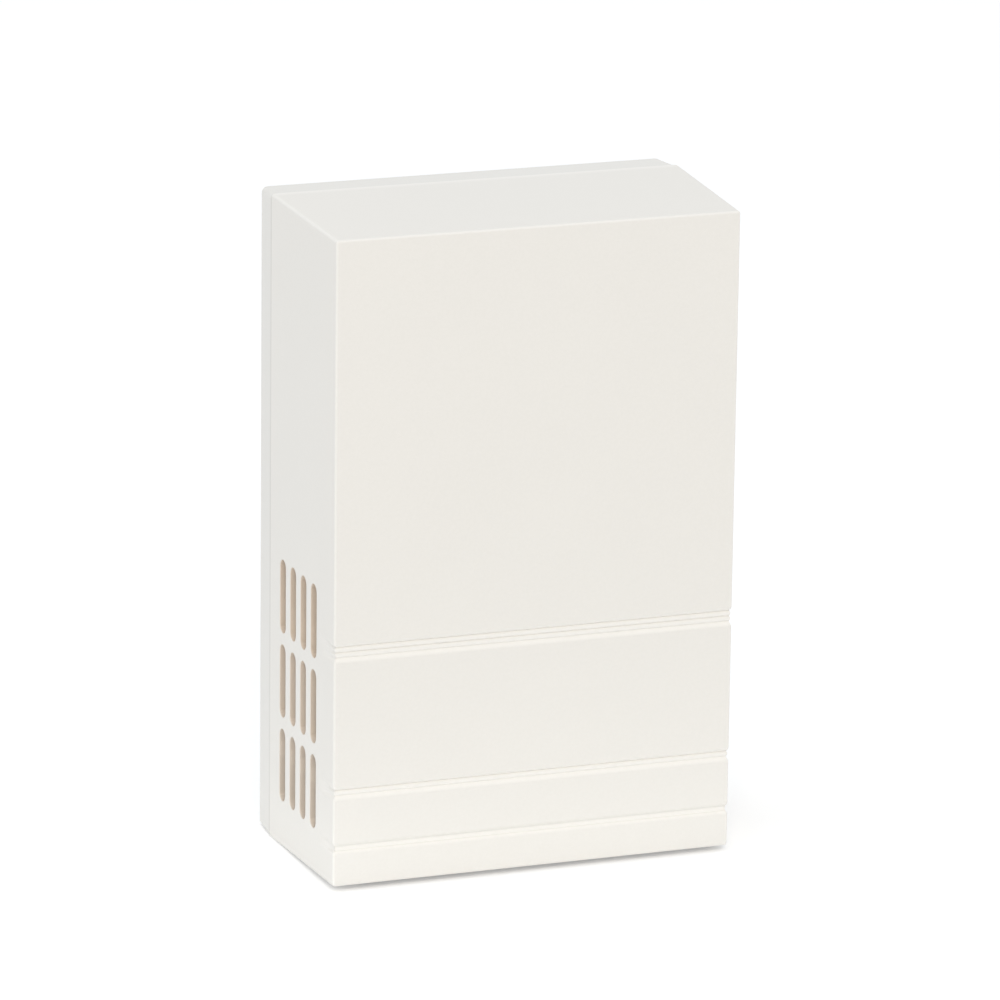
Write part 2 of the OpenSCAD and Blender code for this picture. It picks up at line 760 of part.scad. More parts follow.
module low_striker_tip() {
  color(nylon_white) hang() on_axis(nose_low_x) difference() {
    rotate_extrude() polygon(concat(
      [[0, 0]],
      [for (a = [0:15:90]) [tip_r - tip_round * (1 - sin(a)), tip_round * (1 - cos(a))]],
      [[tip_r, low_nose_l],
       [seat_flange_r, low_nose_l],
       [seat_flange_r, low_nose_l + seat_flange_t - seat_gap],
       [0, low_nose_l + seat_flange_t - seat_gap]]));
    translate([0, 0, low_nose_l + seat_flange_t - spigot_l - seat_gap]) spigot_hole();
  }
}

module high_striker_tip() {
  color(nylon_white) hang() on_axis(nose_high_x - tip_l + seat_gap) difference() {
    rotate_extrude() polygon(concat(
      [[0, 0], [tip_r, 0]],
      [for (a = [90:-15:0]) [tip_r - tip_round * (1 - sin(a)), tip_l - seat_gap - tip_round * (1 - cos(a))]],
      [[0, tip_l - seat_gap]]));
    translate([0, 0, -cut]) spigot_hole();
  }
}

// Middle line of the spring along the plunger's axis: straight ends, curls between them
spring_path = concat(
  [[spring_r, 0, 0]],
  [for (i = [0:spring_turns * spring_rings])
    let (a = 360 * i / spring_rings, f = i / (spring_turns * spring_rings))
    [spring_r * cos(a), spring_r * sin(a), spring_wire + (spring_l - 2 * spring_wire) * f]],
  [[spring_r, 0, spring_l]]);
spring_normals = concat(
  [[1, 0, 0]],
  [for (i = [0:spring_turns * spring_rings]) let (a = 360 * i / spring_rings) [cos(a), sin(a), 0]],
  [[1, 0, 0]]);
// Least gap between curls, from points at least half a curl apart
spring_gap = min([for (i = [1:len(spring_path) - 2], j = [i + spring_rings / 2:len(spring_path) - 2])
  if (j < len(spring_path) - 1) norm(spring_path[i] - spring_path[j])]) - spring_wire;
echo(return_spring_least_gap = spring_gap);

module return_spring() {
  color(zinc) hang() on_axis(seat_x + seat_gap) tube(spring_path, spring_normals, spring_wire / 2, spring_sides);
}

// Two-pole strip: barrels for the inserts, towers for the screws, a web that is screwed to the base
module terminal_block() {
  color(strip_white) hang() translate([0, strip_y, 0]) difference() {
    union() {
      for (s = [-1, 1]) translate([s * pole_pitch / 2, 0, pole_depth]) {
        translate([0, strip_l / 2, 0]) rotate([90, 0, 0]) cylinder(r = barrel_r, h = strip_l);
        for (t = [-1, 1]) translate([0, t * tower_y, 0]) cylinder(r = tower_r, h = tower_top - pole_depth);
      }
      translate([-pole_pitch / 2, -strip_l / 4, base_floor + strip_seat + web_lift])
        cube([pole_pitch, strip_l / 2, web_t]);
    }
    for (s = [-1, 1]) translate([s * pole_pitch / 2, 0, pole_depth]) {
      translate([0, strip_l / 2 + cut, 0]) rotate([90, 0, 0])
        cylinder(r = insert_r + seat_gap, h = strip_l + 2 * cut);
      for (t = [-1, 1]) translate([0, t * tower_y, 0])
        cylinder(r = clamp_head_r + 2 * seat_gap, h = tower_top - pole_depth + cut);
    }
    translate([0, 0, base_floor]) cylinder(r = screw_r + 2 * seat_gap, h = strip_seat + web_lift + web_t + cut);
  }
}

module terminal_inserts() {
  color(brass_yellow) hang() translate([0, strip_y, 0]) for (s = [-1, 1])
    translate([s * pole_pitch / 2, 0, pole_depth]) difference() {
      translate([0, strip_l / 2 - insert_end, 0]) rotate([90, 0, 0])
        cylinder(r = insert_r, h = strip_l - 2 * insert_end);
      translate([0, strip_l / 2, 0]) rotate([90, 0, 0]) cylinder(r = insert_bore_r, h = strip_l);
      for (t = [-1, 1]) translate([0, t * tower_y, 0]) cylinder(r = clamp_r + seat_gap, h = insert_r + cut);
    }
}

module terminal_screws() {
  head = pole_depth + insert_r + seat_gap;
  tip = lead_depth + lead_r + seat_gap;
  color(zinc) hang() translate([0, strip_y, 0]) for (s = [-1, 1], t = [-1, 1])
    translate([s * pole_pitch / 2, t * tower_y, head])
      small_screw(head - tip, clamp_r, clamp_head_r, clamp_head_h);
}

module terminal_fixing_screw() {
  color(zinc) hang() translate([0, strip_y, base_floor + strip_seat + web_lift + web_t + seat_gap])
    small_screw(strip_seat + web_lift + web_t + base_floor - relief_depth - 2 * seat_gap,
                screw_r, min(screw_head_r, pole_pitch / 2 - barrel_r - 4 * seat_gap));
}

// Route of a coil lead from its solder pin to its pole, bent within the height between the two
function lead_route(s) =
  let (pin = [frame_right - frame_t - seat_gap - tab_t / 2,
              axis_y - flange_r - tab_h - pin_l - solder_gap,
              axis_depth - s * pin_spread],
       pole = [s * pole_pitch / 2, strip_y + strip_l / 2, lead_depth],
       fall = [0, pin[1] - pole[1], 0],
       near_pin = pin + lead_turn * (pole - pin),
       near_pole = pole + lead_turn * (pin - pole))
  smooth([pin,
          pin - lead_straight * fall,
          [near_pin[0], pin[1] - lead_bend * fall[1], near_pin[2]],
          [near_pole[0], pole[1] + lead_bend * fall[1], near_pole[2]],
          pole + lead_straight * fall,
          pole,
          pole - [0, lead_in, 0]], lead_steps);

module coil_lead(s) {
  path = lead_route(s);
  hang() tube(path, [for (p = path) [1, 0, 0]], lead_r, lead_sides);
}

module coil_lead_a() {
  color(lead_brown) coil_lead(1);
}

module coil_lead_b() {
  color(lead_blue) coil_lead(-1);
}

base_plate();
front_cover();
solenoid_frame();
coil_bobbin();
coil_winding();
coil_tape();
guide_sleeve();
frame_screws();
bobbin_pins();
low_tone_bar();
high_tone_bar();
low_bar_grommets();
high_bar_grommets();
low_bar_pegs();
high_bar_pegs();
terminal_block();
terminal_inserts();
terminal_screws();
terminal_fixing_screw();
coil_lead_a();
coil_lead_b();
return_spring();
plunger_core();
low_striker_tip();
high_striker_tip();
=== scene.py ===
"""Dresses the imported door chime: moulded cover, wound coil, spring, leads, finishes and a plain stage."""
import math

import bpy
import numpy as np
from bpy.props import FloatProperty, FloatVectorProperty, IntProperty, PointerProperty
from mathutils import Matrix, Vector


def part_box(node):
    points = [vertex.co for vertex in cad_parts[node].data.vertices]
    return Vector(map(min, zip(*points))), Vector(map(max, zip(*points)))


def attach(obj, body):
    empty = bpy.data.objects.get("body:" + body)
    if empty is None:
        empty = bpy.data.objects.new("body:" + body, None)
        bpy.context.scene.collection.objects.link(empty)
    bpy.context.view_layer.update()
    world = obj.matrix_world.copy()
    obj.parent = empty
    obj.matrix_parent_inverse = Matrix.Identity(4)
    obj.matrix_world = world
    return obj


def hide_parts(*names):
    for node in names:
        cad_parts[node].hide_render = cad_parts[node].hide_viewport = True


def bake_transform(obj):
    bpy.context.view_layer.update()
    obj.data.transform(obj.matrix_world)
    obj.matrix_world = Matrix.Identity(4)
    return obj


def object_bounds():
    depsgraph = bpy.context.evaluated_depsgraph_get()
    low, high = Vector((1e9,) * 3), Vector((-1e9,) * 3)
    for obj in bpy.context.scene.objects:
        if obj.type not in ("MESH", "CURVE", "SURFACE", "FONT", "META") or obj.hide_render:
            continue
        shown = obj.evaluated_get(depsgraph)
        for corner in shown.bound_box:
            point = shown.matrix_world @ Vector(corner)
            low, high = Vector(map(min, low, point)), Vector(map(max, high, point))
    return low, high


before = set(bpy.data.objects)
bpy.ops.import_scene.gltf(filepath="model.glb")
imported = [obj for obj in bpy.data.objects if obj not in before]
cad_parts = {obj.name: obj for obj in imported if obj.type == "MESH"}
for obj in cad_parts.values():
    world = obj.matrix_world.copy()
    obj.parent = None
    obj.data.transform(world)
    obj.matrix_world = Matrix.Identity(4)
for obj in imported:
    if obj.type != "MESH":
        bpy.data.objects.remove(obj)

bl_info = {
    "name": "Door chime",
    "version": (1, 0, 0),
    "blender": (4, 5, 0),
    "location": "3D View > Sidebar > Chime",
    "description": "Moulded cover, wound coil, spring, leads and finishes of a two-tone door chime",
    "category": "Object",
}

CAD_BOX = [list(corner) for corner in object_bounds()]
CORNER_STEPS = 5
EDGE_STEPS = 5
FRONT_STEPS = 10
LIP_STEPS = 8
RIB_STEPS = 12
SLOPE_POWER = 1.3
WHITE = (1.0, 1.0, 1.0)


def box(node):
    """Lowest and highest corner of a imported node, as arrays."""
    low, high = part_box(node)
    return np.array(low), np.array(high)


def length(label, words, millimetres):
    """A length that is shown in the sidebar, given in millimetres and kept in metres."""
    return FloatProperty(name=label, description=words, default=millimetres / 1000, unit="LENGTH",
                         precision=5)


def portion(label, words, part, most=1.0):
    """A share that is shown in the sidebar."""
    return FloatProperty(name=label, description=words, default=part, min=0, max=most)


def number(label, words, many):
    """A whole number of at least one that is shown in the sidebar."""
    return IntProperty(name=label, description=words, default=many, min=1)


def tint(label, words, colour):
    """A colour that is shown in the sidebar, in linear light."""
    return FloatVectorProperty(name=label, description=words, default=colour, size=3, min=0, max=1,
                               subtype="COLOR")


class ChimeCoverSizes(bpy.types.PropertyGroup):
    """Sizes of the moulded cover; its overall width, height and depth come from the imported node"""
    wall: length("Side wall", "Thickness of the four sides", 2.0)
    front_wall: length("Front wall", "Thickness of the front", 2.2)
    draft: FloatProperty(name="Draft", description="Slope of the four sides", default=math.radians(1.7),
                         subtype="ANGLE")
    corner_radius: length("Upright edges", "Radius of the front's two upright edges", 0.5)
    edge_radius: length("Level edges", "Radius of the front's edges at the top and bottom", 0.5)
    side_radius: length("Side edges", "Radius of the edges between the sides and the top and bottom", 0.65)
    inner_radius: length("Inner radius", "Radius of the corners inside", 0.8)
    groove_depth: length("Groove depth", "Depth of the grooves below the front", 0.6)
    notch_pitch: length("Notch pitch", "Height from one notch of a groove to the next", 1.1)
    groove_lip: length("Groove lip", "Height of the panels' soft edges along the grooves", 0.9)
    rib_drop: length("Rib drop", "How far the ribs in a groove stay below the front", 0.22)
    lower_lip: length("Lower lip", "Height of the slope under the ribs of a groove", 1.1)
    # The next two set the share of painted highlight in the grooves: on the sides, and on the ribs and floors
    # against the lower lips.
    side_highlight: portion("Side polish", "Share of the grooves' polish that is left on the sides", 0.35)
    rib_highlight: portion("Rib polish", "Polish of the ribs and floors, against that of the lower lips", 0.65)
    floor_groove: length("Flat groove", "Width of the floor of the lowest groove", 0.9)
    upper_groove: length("Upper groove", "Height of the upper groove above the bottom", 49.5)
    middle_groove: length("Middle groove", "Height of the middle groove above the bottom", 20.5)
    lower_groove: length("Lower groove", "Height of the lowest groove above the bottom", 8.9)
    groove_run: length("Groove run", "How far the grooves run back along the sides", 8.0)
    slot_width: length("Slot width", "Width of a sound slot", 3.3)
    slot_length: length("Slot length", "Length of a sound slot", 15.2)
    slot_pitch: length("Slot pitch", "Distance between two columns of slots", 5.9)
    slot_row_pitch: length("Slot row pitch", "Distance between two rows of slots", 17.7)
    slot_back: length("First column", "Distance of the first column from the back edge", 7.2)
    slot_rise: length("First row", "Height of the lowest slots' lower ends above the bottom", 9.9)
    slot_edge: length("Slot edge", "Radius of the slots' outer edges", 0.2)
    # The slots' walls take painted shade, which lessens from row to row downwards.
    slot_shade_fade: portion("Slot fade", "Tone that the slots lose from one row to the next one below", 0.12, 0.3)
    slot_columns: number("Slot columns", "Columns of slots in each side", 4)
    slot_rows: number("Slot rows", "Rows of slots in each side", 3)
    rib_place: length("Rib place", "Distance of the two ribs inside from the middle", 20.0)
    rib_thickness: length("Rib thickness", "Thickness of the ribs inside", 1.2)
    rib_height: length("Rib height", "Height of the ribs off the inside of the front", 1.2)
    rib_end_gap: length("Rib end gap", "Distance of the ribs' ends from the top and bottom", 24.0)
    key_width: length("Key width", "Width of the keys that centre the cover", 12.0)
    key_height: length("Key height", "Height of the keys off the inside", 1.0)
    key_gap: length("Key gap", "Distance of the keys from the back edge", 0.5)
    key_length: length("Key length", "Length of the keys", 2.5)


class ChimeInsideSizes(bpy.types.PropertyGroup):
    """Sizes of the wound and flexible pieces inside"""
    coil_wire: length("Coil wire", "Diameter of the winding's wire", 0.34)
    bobbin_wall_radius: length("Bobbin tube", "Outer radius of the bobbin's tube", 5.6)
    tape_layer: length("Tape layer", "Thickness of one layer of tape", 0.13)
    spring_wire: length("Spring wire", "Diameter of the spring's wire", 0.5)
    spring_turns: FloatProperty(name="Spring curls", description="Open curls of the spring", default=5.0,
                                min=1)
    spring_closed: FloatProperty(name="Closed curls", description="Closed curls at each end", default=0.75,
                                 min=0)
    lead_radius: length("Lead radius", "Radius of the coil leads over their insulation", 0.8)
    lead_in: length("Lead in", "How far a lead runs into its terminal", 7.0)
    solder_radius: length("Solder radius", "Radius of the solder around a pin", 0.95)


class ChimeColours(bpy.types.PropertyGroup):
    """Colours of the finishes, in linear light"""
    cover: tint("Cover", "Moulded cover", (0.850, 0.828, 0.782))
    # Painted highlight: the lighter colour in the grooves stands for light caught by the lips and ribs.
    groove: tint("Grooves", "Polished plastic in the cover's grooves", (0.930, 0.909, 0.864))
    # Painted highlight: the lighter colour along the edges stands for light caught by the rounded edges.
    edge: tint("Edges", "Polished plastic along the cover's edges", (0.905, 0.884, 0.842))
    # Painted shade: the warm dark colour on the slots' walls stands for the shade inside them.
    slot: tint("Slot walls", "Plastic of the slots' walls, with the warm light that it lets through",
               (0.828, 0.704, 0.580))
    # Painted shade along the seam between the base and the cover.
    dust_and_seam_shade: tint("Dust", "Dust along the seam", (0.700, 0.675, 0.630))
    # A little darker than the cover: partly the base's own tone, partly painted shade on its sides.
    base: tint("Base", "Moulded base", (0.825, 0.808, 0.768))
    tone_steel: tint("Tone steel", "Bright rolled steel", (0.54, 0.55, 0.57))
    zinc: tint("Zinc", "Zinc plated steel", (0.62, 0.63, 0.65))
    brass: tint("Brass", "Drawn brass", (0.68, 0.48, 0.19))
    copper: tint("Copper", "Enamelled copper wire", (0.62, 0.23, 0.085))
    tape: tint("Tape", "Insulating tape", (0.76, 0.47, 0.045))
    bobbin: tint("Bobbin", "Natural nylon", (0.74, 0.69, 0.53))
    nylon: tint("Nylon", "White nylon", (0.84, 0.83, 0.78))
    strip: tint("Terminal strip", "Milky terminal strip", (0.70, 0.70, 0.64))
    rubber: tint("Rubber", "Grey rubber", (0.045, 0.047, 0.05))
    lead_a: tint("Brown lead", "Brown insulation", (0.14, 0.05, 0.02))
    lead_b: tint("Blue lead", "Blue insulation", (0.03, 0.11, 0.34))
    tin: tint("Tin", "Tinned pins and solder", (0.66, 0.66, 0.65))


def cover_sizes():
    return bpy.context.scene.chime_cover


def inside_sizes():
    return bpy.context.scene.chime_inside


def colours():
    return bpy.context.scene.chime_colours


# Surfaces

def volume(points, quads, triangles):
    """Volume inside a closed surface: the sum of signed tetrahedra from the origin to its triangles."""
    faces = np.concatenate([quads[:, [0, 1, 2]], quads[:, [0, 2, 3]], triangles])
    a, b, c = points[faces[:, 0]], points[faces[:, 1]], points[faces[:, 2]]
    return float(np.einsum("ij,ij->i", a, np.cross(b, c)).sum() / 6)


def closed_rings(rings):
    """Skin over a row of closed rings, each end closed by a fan to the middle of its last ring."""
    count, around = rings.shape[:2]
    index = np.arange(count * around).reshape(count, around)
    after = np.roll(index, -1, axis=1)
    points = np.concatenate([rings.reshape(-1, 3), rings[:1].mean(axis=1), rings[-1:].mean(axis=1)])
    quads = np.stack([index[:-1], after[:-1], after[1:], index[1:]], axis=-1).reshape(-1, 4)
    first = np.stack([np.full(around, count * around), after[0], index[0]], axis=-1)
    last = np.stack([np.full(around, count * around + 1), index[-1], after[-1]], axis=-1)
    triangles = np.concatenate([first, last])
    if volume(points, quads, triangles) < 0:
        quads, triangles = quads[:, ::-1], triangles[:, ::-1]
    return points, quads.tolist() + triangles.tolist()


def ring_of_rings(rings):
    """Skin over rings that come back to the first one, such as a turned ring's sections."""
    count, around = rings.shape[:2]
    index = np.arange(count * around).reshape(count, around)
    after = np.roll(index, -1, axis=1)
    next_index, next_after = np.roll(index, -1, axis=0), np.roll(after, -1, axis=0)
    quads = np.stack([index, after, next_after, next_index], axis=-1).reshape(-1, 4)
    points = rings.reshape(-1, 3)
    if volume(points, quads, np.zeros((0, 3), int)) < 0:
        quads = quads[:, ::-1]
    return points, quads.tolist()


def joined(*shapes):
    """Several shapes as one: points one after the other, faces counted on."""
    points, faces, start = [], [], 0
    for some, own in shapes:
        points.append(some)
        faces += [[start + i for i in face] for face in own]
        start += len(some)
    return np.concatenate(points), faces


def smooth_path(knots, steps):
    """Curve through the knots: each span is a cubic that leaves and arrives along its neighbours' chords."""
    knots = np.asarray(knots, float)
    whole = np.concatenate([knots[:1], knots, knots[-1:]])
    a, b, c, d = whole[:-3], whole[1:-2], whole[2:-1], whole[3:]
    t = np.linspace(0, 1, steps, endpoint=False)[None, :, None]
    a, b, c, d = a[:, None], b[:, None], c[:, None], d[:, None]
    span = 0.5 * (2 * b + (c - a) * t + (2 * a - 5 * b + 4 * c - d) * t ** 2
                  + (3 * b - a - 3 * c + d) * t ** 3)
    return np.concatenate([span.reshape(-1, 3), knots[-1:]])


def tube_rings(path, side, radius, sides):
    """Circles of one radius per point, square to a path and turned by a side direction given per point."""
    ahead = np.gradient(path, axis=0)
    ahead /= np.linalg.norm(ahead, axis=1, keepdims=True)
    across = np.cross(ahead, side)
    across /= np.linalg.norm(across, axis=1, keepdims=True)
    up = np.cross(across, ahead)
    angle = np.linspace(0, 2 * np.pi, sides, endpoint=False)[None, :, None]
    radius = np.broadcast_to(radius, len(path))[:, None, None]
    return path[:, None] + radius * (np.cos(angle) * up[:, None] + np.sin(angle) * across[:, None])


def turned_rings(profile, middle, axis, sides):
    """A profile of (place along the axis, radius) turned about an axis through middle: 0 is X and 2 is Z."""
    angle = np.linspace(0, 2 * np.pi, sides, endpoint=False)
    along, radius = profile[:, 0][:, None], profile[:, 1][:, None]
    one, two = radius * np.cos(angle), radius * np.sin(angle)
    straight = np.broadcast_to(along, one.shape)
    order = [straight, one, two] if axis == 0 else [one, two, straight]
    return np.stack(order, axis=-1) + np.asarray(middle)


def soft_block(low, high, radius, steps=4):
    """A block with rounded edges: a rounded rectangle carried up Z, drawn in by radius times one minus the
    cosine of a turn at both ends while it rises by radius times the sine."""
    low, high = np.asarray(low, float), np.asarray(high, float)
    middle, half = (low + high) / 2, (high - low) / 2
    fuller, nearly_half = 1.3, 0.98
    plan = min(fuller * radius, nearly_half * half[:2].min())
    turn = np.linspace(0, np.pi / 2, steps + 1)
    inset = radius * (1 - np.cos(np.concatenate([turn[::-1], turn])))[:, None]
    rise = half[2] - radius * (1 - np.sin(turn))
    height = np.concatenate([-rise[::-1], rise])[:, None]
    angle = (np.arange(4)[:, None] * np.pi / 2 + turn[None]).ravel()
    side_x = np.repeat([1, -1, -1, 1], steps + 1)
    side_y = np.repeat([1, 1, -1, -1], steps + 1)
    x = side_x * (half[0] - plan) + (plan - inset) * np.cos(angle)
    y = side_y * (half[1] - plan) + (plan - inset) * np.sin(angle)
    return closed_rings(np.stack([x, y, np.broadcast_to(height, x.shape)], axis=-1) + middle)


def piece(name, shape, material, body, replaced=(), crease=38):
    """Puts points and faces into a smooth mesh with creases kept, gives it its finish and its body."""
    points, faces = shape
    mesh = bpy.data.meshes.new(name)
    mesh.from_pydata(points.tolist(), [], faces)
    mesh.update()
    mesh.shade_smooth()
    mesh.set_sharp_from_angle(angle=math.radians(crease))
    mesh.materials.append(material)
    made = bpy.data.objects.new(name, mesh)
    bpy.context.scene.collection.objects.link(made)
    if replaced:
        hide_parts(*replaced)
    if body:
        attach(made, body)
    return made


# Cover

def groove_rows(s):
    """Height above the bottom, number of notches and half the inner height of each groove."""
    rows = ((s.upper_groove, 3), (s.middle_groove, 2), (s.lower_groove, 1))
    return [(centre, notches, (s.notch_pitch * (notches - 1) if notches > 1 else s.floor_groove) / 2)
            for centre, notches in rows]


def groove_depths(height, bottom, s):
    """Depth of the three grooves at the given heights: an arc that leaves each panel at a tangent, arcs of
    ribs that meet in the notches, a nearly straight slope under the ribs, a flat floor in the lowest groove.
    Also gives the share of painted highlight at these heights: full on the lower lips, less on the ribs and
    the floor, none on the flat groove's upper lip."""
    depth = np.zeros_like(height)
    highlight_share = np.zeros_like(height)
    crest = s.groove_depth - s.rib_drop
    rib_arc = (s.notch_pitch ** 2 / 4 + crest ** 2) / (2 * crest)
    for centre, notches, half in groove_rows(s):
        off = height - bottom - centre
        away = np.abs(off)
        slope = (off < 0) & (notches > 1)
        reach = np.where(slope, s.lower_lip, s.groove_lip)
        lip_arc = (reach ** 2 + s.groove_depth ** 2) / (2 * s.groove_depth)
        fall = np.clip(half + reach - away, 0, reach)
        arc = lip_arc - np.sqrt(lip_arc ** 2 - fall ** 2)
        lip = np.where(slope, s.groove_depth * (fall / reach) ** SLOPE_POWER, arc)
        place = (off + half) / s.notch_pitch
        across = s.notch_pitch * (place - np.floor(place) - 0.5)
        rib = s.rib_drop + rib_arc - np.sqrt(rib_arc ** 2 - across ** 2)
        inside = s.groove_depth if notches == 1 else rib
        depth += np.where(away >= half, lip, inside)
        reached = away < half + reach
        highlight_share[reached & ((off <= half) | (notches > 1))] = s.rib_highlight
        highlight_share[reached & (off < -half)] = 1
    return depth, highlight_share


def groove_heights(bottom, s):
    """Heights that carry the grooves' sections: even steps over each lip and each rib."""
    rows = []
    lip = np.linspace(0, 1, LIP_STEPS + 1)
    for centre, notches, half in groove_rows(s):
        rib = s.notch_pitch * np.linspace(0, 1, RIB_STEPS + 1)
        ribs = (np.arange(notches - 1)[:, None] * s.notch_pitch + rib[None]).ravel() - half
        reach = s.groove_lip if notches == 1 else s.lower_lip
        rows += [bottom + centre + half + s.groove_lip * lip, bottom + centre - half - reach * lip,
                 bottom + centre + ribs]
    return np.concatenate(rows)


def plan_outline(half_width, taper, corner, side_depths):
    """Outlines seen from above, one for each row, from the left back edge round the front to the right: sides
    that come in by the taper, a quarter circle at each corner, a straight front. Gives x and depth."""
    turn = np.linspace(0, np.pi / 2, CORNER_STEPS + 2)[1:-1]
    last = side_depths[:, -1:]
    reach = half_width - taper * last - corner
    x = np.concatenate([taper * side_depths - half_width, -reach - corner * np.cos(turn)], axis=1)
    depth = np.concatenate([side_depths, last + corner * np.sin(turn)], axis=1)
    front = reach * np.linspace(-1, 1, FRONT_STEPS)
    face = np.broadcast_to(last + corner, front.shape)
    return (np.concatenate([x, front, -x[:, ::-1]], axis=1),
            np.concatenate([depth, face, depth[:, ::-1]], axis=1))


def plan_normals(along_side):
    """Inward normals of a plan outline, the same for every row: x and depth parts."""
    turn = np.linspace(0, np.pi / 2, CORNER_STEPS + 2)[1:-1]
    in_x = np.concatenate([np.ones(along_side), np.cos(turn)])
    in_depth = np.concatenate([np.zeros(along_side), -np.sin(turn)])
    return (np.concatenate([in_x, np.zeros(FRONT_STEPS), -in_x[::-1]]),
            np.concatenate([in_depth, -np.ones(FRONT_STEPS), in_depth[::-1]]))


def carried_sheet(half_width, half_height, taper, corner, radii, depths, turn, end, level, sink, back):
    """A plan outline carried up the rows. At both ends it turns over a quarter circle: inwards by a radius
    times one minus the cosine of the turn, and towards the end by the radius times its sine. The radii are
    the sides' and the front's; round the corners one passes into the other. sink pushes points in along the
    normal."""
    side_radius, front_radius = radii
    pull = (1 - np.cos(turn))[:, None]
    least_corner = 0.1 * corner
    own_corner = np.maximum(corner - front_radius * pull, least_corner)
    last = depths[-1] + corner - front_radius * pull - own_corner
    side_depths = depths[None] * last / depths[-1]
    x, depth = plan_outline(half_width - side_radius * pull, taper, own_corner, side_depths)
    in_x, in_depth = plan_normals(len(depths))
    radius = front_radius + (side_radius - front_radius) * in_x[None] ** 2
    top = half_height - taper * depth - radius * (1 - np.sin(turn))[:, None]
    height = np.where(end[:, None] == 0, level[:, None], end[:, None] * top)
    return np.stack([x + in_x * sink, back - (depth + in_depth * sink), height], axis=-1)


def cell_loop(row_low, row_high, column_low, column_high):
    """Rows and columns of the grid points around a cell, once round."""
    wide, tall = column_high - column_low, row_high - row_low
    rows = np.concatenate([np.full(wide, row_low), np.arange(row_low, row_high),
                           np.full(wide, row_high), np.arange(row_high, row_low, -1)])
    columns = np.concatenate([np.arange(column_low, column_high), np.full(tall, column_high),
                              np.arange(column_high, column_low, -1), np.full(tall, column_low)])
    return rows, columns


def strips(loops):
    """Quads between one closed loop of point numbers and the next."""
    pairs = [np.stack([a, np.roll(a, -1), np.roll(b, -1), b], axis=-1) for a, b in zip(loops[:-1], loops[1:])]
    return np.concatenate(pairs)


def thinned(rows, kept, gap):
    """Rows joined with those that have to stay, without the ones that lie within gap of them."""
    apart = np.abs(rows[:, None] - kept[None]).min(axis=1)
    return np.unique(np.concatenate([kept, rows[apart > gap]]).round(8))


